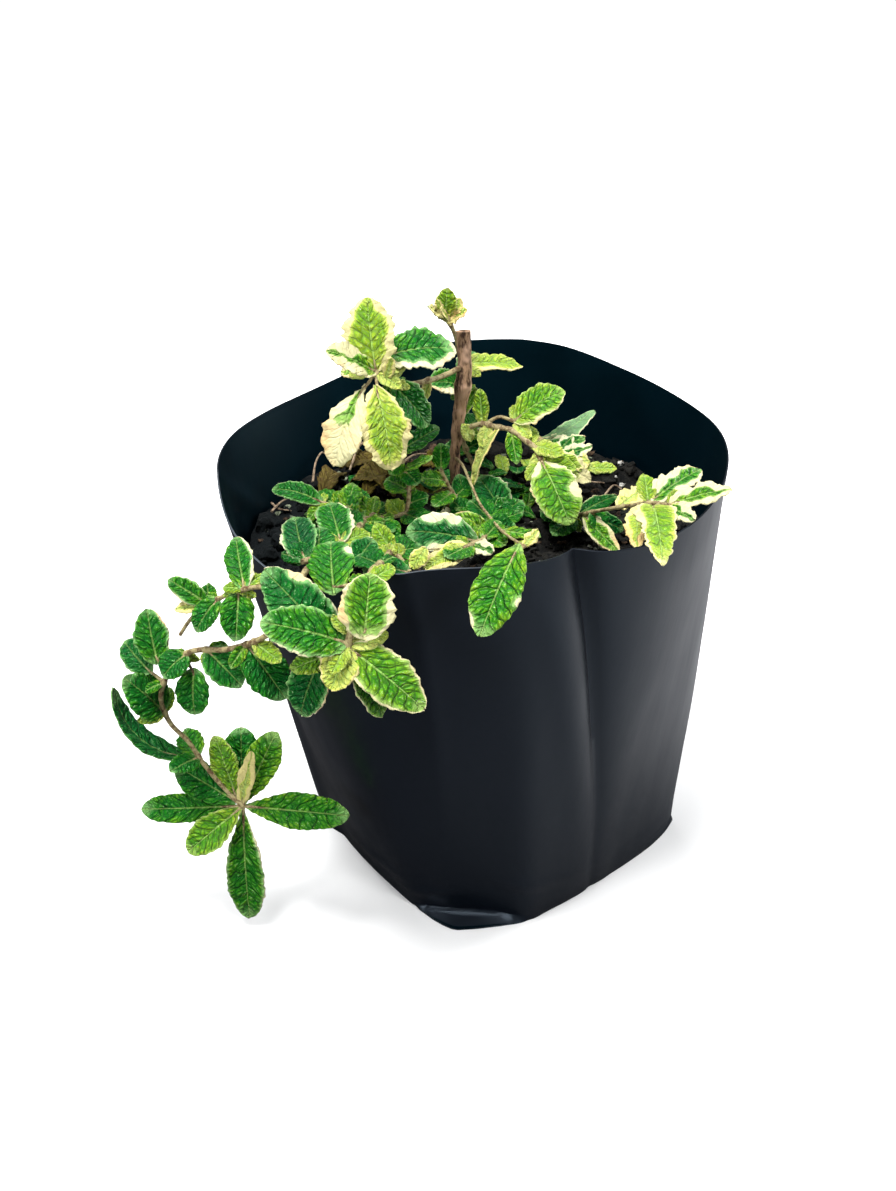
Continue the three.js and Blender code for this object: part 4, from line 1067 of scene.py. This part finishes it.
# Back shoot: it comes out of the soil behind the woody stem and shows above it as a small, pale tip.
# Its lower leaves stay behind the cane.
leafy_shoot("back_shoot", [
    ([*rooted(-9, 41), (463, 440, 41), (463, 400, 40), (460, 360, 39), (455, 335, 38),
      (446, 315, 38)], 1.2, 0.9),
], [
    leaf((446, 314, 38), (447, 288, 38), 7, 0.6, (0.1, 0.1), arch=0.5),
    leaf((446, 320, 37), (428, 306, 34), 5.5, 0.8, (0.9, 0.9), ragged=0.1, turn=20),
    leaf((452, 321, 37), (467, 309, 36), 5.5, 0.8, (0.9, 0.9), ragged=0.1, turn=-20),
    leaf((448, 326, 36), (441, 308, 32), 4.5, 0.85, (0.9, 0.9), ragged=0.1),
    leaf((457, 388, 38), (429, 383, 36), 12, 0.35, (0.5, 0.05), ragged=0.05, turn=10, arch=1),
    leaf((466, 364, 39), (522, 366, 45), 8.5, 0.7, (0.05, 0.4), ragged=0.09, turn=-15, arch=1),
    leaf((465, 414, 40), (477, 389, 38), 5.5, 0.5, (0.1, 0.1), turn=-20),
    leaf((462, 372, 42), (475, 352, 56), 8, 0.3, (0.1, 0.2), arch=1),
    leaf((458, 392, 43), (440, 372, 58), 9, 0.3, (0.1, 0.2), arch=1),
    leaf((463, 430, 43), (484, 418, 58), 9, 0.3, (0.1, 0.2), arch=1.5),
    leaf((450, 318, 38), (436, 300, 36), 6, 0.85, (0.9, 0.9), ragged=0.1),
    leaf((452, 318, 38), (460, 298, 40), 6, 0.85, (0.9, 0.9), ragged=0.1),
    leaf((463, 450, 41), (485, 440, 44), 8, 0.25),
    leaf((463, 452, 41), (445, 445, 44), 8, 0.25),
])

# Right branch: a thin stem that leaves the cane half way up and bends over to the right. It carries
# one large hanging leaf, a curled yellow one and a large flat one at its fork.
leafy_shoot("right_branch", [
    ([beside_wood(138, (482, 424, 25)), (482, 424, 25), (497, 427, 22), (511, 430, 20), (523, 439, 17),
      (535, 448, 14), (541, 460, 11)], 1.1, 0.9),
    ([(484, 425, 25), (499, 417, 25), (514, 421, 24)], 0.8, 0.7),
], [
    leaf((540, 461, 11), (570, 525, -12), 15, 0.5, (0.1, 0.08),
         blots=((0.12, -1, 0.62), (0.1, 0.9, 0.62), (0.62, -1, 0.5)), turn=5, arch=2, fold=12,
         broadest=0.55),
    leaf((541, 453, 15), (591, 481, 9), 9, 0.6, (0.4, 0.1), cream_tip=0.25, ragged=0.06, turn=10, arch=1.5),
    leaf((544, 450, 17), (585, 438, 23), 7, 0.35, (0.3, 0.3), ragged=0.08, turn=-10),
    leaf((585, 468, 12), (617, 468, 13), 5, 0.75, turn=-10),
    leaf((498, 436, 20), (473, 485, 15), 5.5, 1.0, (0.35, 0.35), turn=40, arch=1.5, fold=40),
    leaf((472, 441, 24), (463, 424, 25), 5, 0.9, turn=10),
    leaf((511, 434, 20), (517, 464, 13), 5.5, 0.45, turn=15),
    leaf((490, 430, 24), (481, 447, 19), 5, 0.85),
    leaf((483, 422, 26), (480, 389, 27), 5.5, 0.6, turn=-15),
    leaf((514, 424, 24), (565, 391, 25), 14, 0.53, (0.04, 0.2), pale_veins=0.5, turn=-12, arch=1.5,
         fold=14),
    leaf((536, 446, 19), (594, 411, 36), 8, 0.3, (0.1, 0.1), turn=155, arch=1),
    leaf((530, 448, 19), (563, 436, 26), 5, 0.55, (0.6, 0.6), ragged=0.1, turn=-15),
    leaf((557, 452, 14), (572, 437, 19), 5, 0.3, (0.8, 0.8), ragged=0.14),
    leaf((560, 456, 12), (592, 446, 18), 5, 0.35, (0.75, 0.7), ragged=0.12),
    leaf((563, 462, 11), (590, 461, 13), 7, 1.0, (0.95, 0.95), ragged=0.1),
])

# Front runner: a wiry runner that leaves the cane low down, crosses the soil and lays one narrow
# leaf over the front rim, with a tiny cream bud at its tip.
leafy_shoot("front_runner", [
    ([beside_wood(129, (461, 460, 20)), (463, 466, 18), (471, 484, 9), (479, 502, 0), (489, 516, -14),
      (501, 530, -32), (511, 538, -50), (524, 546, -70)], 0.62, 0.5),
], [
    leaf((520, 543, -75), (480, 636, -93), 13, 0.42, (0, 0), blots=((0.9, 1, 0.3), (0.6, -1, 0.22)), turn=5,
         arch=2, fold=14, broadest=0.56),
    leaf((528, 547, -73), (538, 530, -68), 4, 1.0, (0.6, 0.6), turn=-20),
    leaf((502, 531, -33), (541, 536, -36), 4.5, 0.45, turn=-15),
])

# Middle shoot: it leans forward in the middle of the mouth, with dark, broad leaves edged in white
# that lie just above the front rim.
leafy_shoot("middle_shoot", [
    ([*rooted(-6, 6), (492, 518, 5), (489, 524, -12), (484, 538, -32), (470, 545, -46)], 1.2, 0.8),
    ([(489, 525, -12), (476, 522, 2), (466, 512, 12), (451, 490, 14), (441, 470, 14)], 0.8, 0.7),
], [
    leaf((503, 514, 10), (478, 477, 20), 13, 0.15, (0.03, 0.12), turn=5, arch=1),
    leaf((467, 511, 12), (459, 474, 19), 7.5, 0.2, (0.05, 0.05), turn=5),
    leaf((480, 541, -40), (406, 531, -44), 13, 0.12, (0.1, 0.1),
         blots=((0.4, 1, 0.5), (0.66, 1, 0.55), (0.6, -1, 0.5), (0.36, -1, 0.4)), turn=-5, arch=2, fold=12),
    leaf((478, 549, -47), (424, 569, -62), 7, 0.8, (0.6, 0.5), turn=-10, arch=1),
    leaf((476, 545, -44), (493, 552, -52), 5, 0.3, (0.8, 0.8), turn=10),
    leaf((426, 548, -58), (412, 569, -62), 5.5, 0.85, (0.25, 0.25), turn=10),
    leaf((487, 528, -18), (452, 518, -22), 7, 0.5, (0.3, 0.1), turn=-10),
    leaf((440, 470, 14), (441, 443, 16), 6, 0.35),
    leaf((490, 519, 3), (521, 500, 14), 10, 0.3, (0.05, 0.05), turn=-10),
    leaf((488, 526, -14), (460, 540, -26), 10, 0.3, turn=10),
    leaf((466, 513, 11), (440, 523, 3), 9, 0.4, (0.8, 0.7), turn=10),
    leaf((470, 546, -47), (446, 557, -57), 8, 0.35, turn=5),
    leaf((446, 482, 13), (420, 478, 12), 7, 0.45, turn=10),
    leaf((452, 492, 13), (434, 506, 2), 7, 0.4, turn=10),
    leaf((488, 524, -10), (522, 512, 2), 7, 0.35, turn=-10),
    leaf((490, 520, 0), (470, 500, 10), 9, 0.25),
    leaf((491, 519, 3), (505, 500, 12), 9, 0.2),
    leaf((489, 524, -10), (515, 528, -8), 8, 0.25),
    leaf((486, 534, -26), (505, 545, -34), 7, 0.45),
    leaf((470, 517, 8), (452, 500, 12), 8, 0.25),
    leaf((455, 497, 13), (470, 483, 18), 7, 0.35),
    leaf((484, 538, -32), (500, 521, -20), 7, 0.4),
])

# Right shoot: a low stem that runs to the right over the soil and ends in a pale rosette at the rim,
# its leaves mostly cream and thin.
leafy_shoot("right_shoot", [
    ([*rooted(16, 12), (574, 516, -1), (592, 512, -11), (614, 508, -21), (634, 505, -29), (650, 503, -35),
      (668, 505, -39)], 0.9, 0.7),
], [
    leaf((574, 512, -1), (617, 496, 12), 6, 0.2, (0.15, 0), turn=-10, arch=1),
    leaf((590, 516, -9), (624, 530, -6), 6.5, 0.15, (0.05, 0.05), turn=10),
    leaf((577, 519, -8), (619, 552, -26), 6.5, 0.5, (0.7, 0.4), turn=30, arch=1),
    leaf((626, 506, -22), (645, 487, -12), 7.5, 1.0, (0.9, 0.9), ragged=0.1, turn=-15),
    leaf((648, 501, -34), (701, 469, -22), 9, 0.42, (0.72, 0.62), ragged=0.12, turn=-12, arch=1),
    leaf((668, 505, -39), (732, 489, -41), 8, 0.5, (0.9, 0.9), ragged=0.1, turn=-15, arch=0.8),
    leaf((664, 506, -41), (694, 520, -50), 6, 0.42, (0.8, 0.7), ragged=0.12, turn=10),
    leaf((652, 505, -40), (663, 565, -73), 11, 0.62, (0.16, 0.4), cream_tip=0.08, ragged=0.12,
         broadest=0.32, turn=5, arch=3.5, fold=12),
    leaf((632, 507, -32), (637, 548, -52), 7, 0.8, (0.8, 0.8), ragged=0.12, turn=20, arch=1),
    leaf((660, 503, -34), (680, 486, -14), 7, 0.42, (0.8, 0.8), ragged=0.1, turn=-10, arch=1),
    leaf((592, 512, -11), (605, 528, -14), 7, 0.25),
    leaf((574, 516, -2), (560, 500, 6), 8, 0.2),
    leaf((574, 517, -2), (552, 534, -10), 8, 0.3),
    leaf((560, 517, 2), (540, 512, 8), 8, 0.25),
])

# Left shoot: three branching stems that fill the left half of the mouth with small, dark and folded
# leaves in pairs.
leafy_shoot("left_shoot", [
    ([*rooted(-40, 4), (366, 520, -4), (352, 535, -20), (338, 545, -32), (318, 556, -42),
      (302, 562, -46)], 1.3, 0.9),
    ([(366, 520, -4), (345, 508, 2), (323, 503, 5)], 0.9, 0.7),
    ([(366, 520, -4), (385, 518, -2), (405, 512, 4), (409, 490, 9), (403, 464, 13),
      (400, 448, 14)], 0.9, 0.7),
], [
    leaf((322, 503, 5), (272, 489, 9), 8, 0.25, (0.05, 0.05), turn=10, arch=2),
    leaf((300, 561, -44), (295, 517, -24), 11, 0.05, (0.15, 0.03), turn=-5, arch=1),
    leaf((344, 545, -30), (329, 503, -8), 11.5, 0.3, (0.1, 0.2), turn=5, arch=1),
    leaf((356, 562, -44), (373, 539, -38), 9, 0.15, (0.03, 0.03), turn=-5),
    leaf((401, 449, 14), (439, 427, 17), 8, 0.25, turn=-10),
    leaf((401, 456, 13), (374, 446, 22), 8, 0.7, turn=10),
    leaf((404, 468, 12), (432, 458, 4), 6, 0.45, turn=-15),
    leaf((366, 522, -6), (362, 549, -24), 9, 0.3, turn=5),
    leaf((320, 556, -42), (320, 527, -30), 9.5, 0.25, turn=5),
    leaf((386, 519, -3), (371, 541, -16), 9, 0.25, turn=10),
    leaf((405, 513, 3), (429, 523, -7), 9, 0.3, turn=-10),
    leaf((409, 490, 9), (386, 479, 15), 9, 0.4, turn=10),
    leaf((345, 509, 1), (354, 484, 12), 8, 0.45),
    leaf((357, 517, 0), (338, 495, 8), 7.5, 0.35),
    leaf((371, 514, 0), (376, 496, 6), 4.5, 0.55),
    leaf((403, 518, 2), (389, 500, 6), 7, 0.65, turn=5),
    leaf((406, 513, 5), (414, 497, 10), 5, 0.45),
    leaf((410, 500, 14), (404, 471, 20), 5.5, 0.4),
    leaf((365, 522, -4), (334, 528, -2), 9, 0.25, turn=15, arch=1),
    leaf((376, 518, -2), (392, 532, -14), 8, 0.3, turn=-10),
    leaf((340, 507, 6), (312, 495, 19), 9, 0.35, turn=10, arch=1),
    leaf((366, 520, 2), (350, 490, 21), 9, 0.25, arch=1.5),
    leaf((372, 512, 2), (358, 497, 8), 6, 0.5),
    leaf((383, 521, -6), (396, 541, -16), 8, 0.35, fold=30),
    leaf((383, 521, -6), (372, 533, -12), 6, 0.6),
    leaf((352, 526, -10), (343, 512, -2), 7, 0.25),
    leaf((410, 505, 6), (428, 497, 6), 7, 0.3),
    leaf((403, 470, 12), (418, 484, 6), 7, 0.3),
    leaf((404, 462, 14), (390, 474, 10), 6, 0.4),
    leaf((331, 549, -36), (311, 541, -30), 8, 0.2),
    leaf((312, 559, -44), (285, 550, -40), 8, 0.15),
])

# Rim shoot: it leans over the left rim and opens five broad leaves in front of the film, the lower
# ones with a thin cream edge.
leafy_shoot("rim_shoot", [
    ([*rooted(-31, -22), (392, 552, -40), (380, 564, -60), (372, 570, -72), (364, 588, -84),
      (356, 614, -92), (347, 646, -93)], 1.3, 1.0),
    ([(347, 646, -93), (338, 652, -92), (322, 656, -90)], 0.9, 0.7),
    ([(392, 552, -40), (402, 560, -50), (410, 573, -58)], 0.9, 0.7),
], [
    leaf((344, 646, -90), (264, 570, -77), 14, 0.15, (0.03, 0.1), blots=((0.75, 1, 0.4),), turn=-6,
         arch=1.5, fold=10),
    leaf((340, 644, -94), (260, 622, -95), 13, 0.36, (0.1, 0.03), turn=-4, arch=1.5, fold=10),
    leaf((364, 640, -94), (370, 573, -86), 14.5, 0.48, (0.28, 0.32), cream_base=0.12, turn=8, arch=1,
         fold=18),
    leaf((354, 655, -94), (424, 709, -99), 13, 0.5, (0.2, 0.2), turn=6, arch=1.5, fold=10),
    leaf((350, 656, -95), (331, 690, -100), 10, 0.85, (0.15, 0.15), turn=-10, arch=0.5),
    leaf((354, 668, -93), (383, 716, -94), 8.5, 0.45, (0.1, 0.1), turn=-20, arch=1),
    leaf((321, 657, -89), (301, 715, -91), 12, 0.15, (0.12, 0.03), turn=5, arch=1.5),
    leaf((334, 594, -80), (331, 541, -60), 12.5, 0.35, (0, 0), blots=((0.65, 1, 0.35),), turn=-5, arch=1.5),
    leaf((406, 574, -58), (363, 571, -54), 8.5, 0.1, turn=20, arch=1.5),
    leaf((388, 560, -44), (384, 545, -42), 4.5, 0.8),
    leaf((396, 559, -47), (399, 543, -44), 4, 0.8),
    leaf((396, 546, -38), (374, 524, -30), 6, 0.6, turn=-15),
    leaf((393, 551, -39), (421, 547, -33), 10, 0.3, turn=-10),
    leaf((380, 564, -60), (357, 555, -50), 9, 0.2, turn=10),
])

# Trailing shoot: the longest stem, which arches over the left rim, hangs down outside the bag and
# turns up again in a rosette of narrow leaves. A side stem lies along the rim.
leafy_shoot("trailing_shoot", [
    ([*rooted(-50, -14), (322, 566, -40), (316, 566, -58), (307, 569, -68), (298, 586, -79),
      (289, 605, -82), (268, 634, -79), (229, 649, -70), (190, 652, -62), (168, 674, -57), (161, 700, -54),
      (171, 724, -52), (188, 741, -51), (203, 763, -51), (224, 788, -52), (243, 806, -54)], 1.3, 0.9),
    ([(293, 596, -81), (272, 588, -76), (250, 588, -70), (228, 595, -65), (206, 605, -61), (190, 620, -60),
      (180, 635, -60)], 0.9, 0.7),
], [
    leaf((245, 587, -68), (236, 537, -52), 8, 0.33, (0, 0.3), turn=-5, arch=1),
    leaf((205, 600, -61), (168, 579, -58), 6.5, 0.36, (0.15, 0.1), turn=-10, arch=0.8),
    leaf((208, 602, -62), (207, 584, -58), 5, 0.38),
    leaf((204, 604, -62), (175, 609, -62), 4.5, 0.95, (0.7, 0.7), turn=10),
    leaf((217, 602, -64), (196, 632, -68), 8, 0.28, turn=10, arch=1),
    leaf((237, 594, -68), (236, 641, -76), 9.5, 0.33, turn=-5, arch=1),
    leaf((248, 644, -74), (286, 699, -80), 12, 0.23, turn=5, arch=1),
    leaf((254, 644, -76), (281, 662, -84), 5.5, 0.63),
    leaf((206, 654, -66), (242, 686, -72), 10, 0.23, (0.02, 0.02), turn=5, arch=1.5),
    leaf((158, 664, -56), (147, 609, -48), 10.5, 0.31, (0.02, 0.15), turn=-5, arch=1),
    leaf((151, 673, -54), (124, 641, -44), 8.5, 0.15, (0.05, 0.05), turn=-15, arch=1),
    leaf((172, 717, -55), (124, 678, -57), 13, 0.28, turn=5, arch=1.5),
    leaf((190, 660, -62), (163, 677, -66), 9.5, 0.25, turn=5, arch=1),
    leaf((194, 668, -62), (195, 715, -66), 10, 0.28, turn=5, arch=1.5),
    leaf((194, 756, -50), (113, 688, -44), 12, 0.13, turn=52, arch=-8),
    leaf((250, 808, -54), (349, 816, -57), 11.5, 0.38, turn=10, arch=1, broadest=0.58, bare=True),
    leaf((244, 814, -55), (250, 918, -57), 12.5, 0.38, (0.12, 0.05), ragged=0.03, turn=5, arch=1.5,
         broadest=0.6, bare=True),
    leaf((237, 811, -55), (188, 852, -62), 11, 0.51, (0.05, 0.05), turn=-10, arch=1, broadest=0.6,
         bare=True),
    leaf((239, 808, -53), (141, 809, -50), 9.5, 0.35, turn=-20, arch=1, broadest=0.62, bare=True),
    leaf((239, 805, -52), (176, 766, -47), 11.5, 0.25, turn=-8, arch=1, broadest=0.6, bare=True),
    leaf((240, 799, -52), (215, 736, -45), 8.5, 0.55, (0.05, 0.05), turn=-5, broadest=0.58, bare=True),
    leaf((243, 799, -50), (241, 727, -40), 10.5, 0.29, arch=1, broadest=0.7, bare=True),
    leaf((248, 799, -52), (276, 732, -47), 11, 0.45, turn=8, arch=1, broadest=0.62, bare=True),
    leaf((243, 803, -56), (252, 752, -55), 5.5, 0.95, (0.95, 0.95), fold=24, bare=True),
])

# Withered leaves: three fallen leaves that have dried brown and lie loose on the soil behind the
# stems. They are the same blades, curled and thin, each seated on the crumbs under it.
WITHERED_CLEAR = 0.0005
# Leaves as (X and Y of the base, X and Y of the tip, width, how high it arches, how yellow it is).
DRY_LEAVES = {
    "dry_leaf_left": (-36, 43, -56, 47, 9, 3, 0.2),
    "dry_leaf_arched": (-33, 27, -49, 38, 4.5, 6, 0.1),
    "dry_leaf_yellow": (-27, 21, -20, 42, 5, 2.5, 0.9),
}
dry_brown, dry_shader, tree = material("withered_leaf", Roughness=0.85, Specular_IOR_Level=0.15)
patch = speckle(tree, own_place(tree), 170, 4)
net = node(tree, "Group", {"node_tree": net_group}).outputs
golden, _, _ = read(tree, "dye")
tan = colour_mix(tree, span(tree, patch, 0.38, 0.66), srgb(34, 29, 10), srgb(98, 84, 40))
tan = colour_mix(tree, golden, tan, colour_mix(tree, patch, srgb(40, 48, 10), srgb(136, 122, 36)))
tree.links.new(colour_mix(tree, net["Veins"], tan, srgb(64, 48, 24)), dry_shader.inputs["Base Color"])
relief(tree, dry_shader, net["Height"], 0.9, 0.0005)


def fallen(base, tip, width, tone, arch, facing, **shape):
    """A leaf without cream that lies on the soil, facing the given way."""
    return {"base": base, "tip": tip, "width": width, "tone": tone, "cream": (0, 0), "arch": arch,
            "light": Vector(facing), **shape}


def over_crumbs(point):
    """How far a point in metres is above the soil and its crumbs, in millimetres."""
    x, y, z = (part * 1000 for part in point)
    return z - soil_height(x, y) - clods(x, y)


for i, (name, (from_x, from_y, to_x, to_y, width, arch, age)) in enumerate(DRY_LEAVES.items()):
    base = Vector((from_x, from_y, soil_height(from_x, from_y))) / 1000
    tip = Vector((to_x, to_y, soil_height(to_x, to_y))) / 1000
    curled = fallen(base, tip, width, age, arch, (0, -0.3, 1), fold=30, ripple=1.3, curl=0.1, ragged=0.12)
    blade = blade_mesh(curled, 4.1 + 2.7 * i)
    sunk = min(over_crumbs(vertex.co) for vertex in blade.data.vertices)
    for vertex in blade.data.vertices:
        vertex.co.z += WITHERED_CLEAR - sunk / 1000
    finish_piece(foliage([blade], [dry_brown]), name + "_blade", "dry_leaf", name)

# Old leaves: eight more withered leaves, brown to olive, that lie on the soil half hidden under the
# stems. They are the same curled blades, as one piece.
# Leaves as (base and tip in the picture, width, how high it arches, how yellow it is).
OLD_LEAVES = [
    ((400, 500), (348, 488), 12, 7, 0.35), ((408, 500), (441, 487), 7, 3, 0.9),
    ((441, 480), (411, 471), 9, 5, 0.7), ((322, 499), (343, 482), 9, 5, 0.15),
    ((365, 500), (386, 486), 8, 5, 0.5), ((470, 500), (498, 490), 7, 3, 0.2),
    ((590, 478), (566, 486), 6, 2, 0.1), ((452, 512), (430, 503), 7, 4, 0.6),
]
old_blades = []
for i, (start, end, width, arch, age) in enumerate(OLD_LEAVES):
    base = on_soil(*start) + Vector((0, 0, 0.001))
    tip = on_soil(*end) + Vector((0, 0, 0.0015))
    curled = fallen(base, tip, width, age, arch, (0, -0.25, 1), fold=28, ripple=1.2, ragged=0.12)
    old_blades.append(blade_mesh(curled, 8.3 + 1.9 * i))
finish_piece(foliage(old_blades, [dry_brown]), "old_leaves", "dry_leaf")

# Shed leaves: small green leaves that have dropped into the bag and lie flat on the soil under the
# stems, where the plant is densest.
SHED_COUNT = 56
SHED_SEED = 23
SHED_ACROSS = (335, 560)
SHED_DOWN = (468, 552)
SHED_TONES = [0.1, 0.2, 0.3, 0.4, 0.75]
draw = np.random.default_rng(SHED_SEED)
shed = []
for i in range(SHED_COUNT):
    base = on_soil(draw.uniform(*SHED_ACROSS), draw.uniform(*SHED_DOWN)) + Vector((0, 0, 0.0008))
    way = draw.uniform(0, 2 * math.pi)
    long, lift = draw.uniform(7, 12), draw.uniform(0, 4)
    tip = base + Vector((math.cos(way) * long, math.sin(way) * long, lift)) / 1000
    width = long * draw.uniform(0.52, 0.62)
    dropped = fallen(base, tip, width, draw.choice(SHED_TONES), 1.2, (0, -0.2, 1))
    shed.append(blade_mesh(dropped, 3.7 + 1.3 * i))
finish_piece(foliage(shed, [upper_skin, lower_skin]), "shed_leaves", "leaf")

for _, blank, _ in blanks:
    bpy.data.objects.remove(blank)
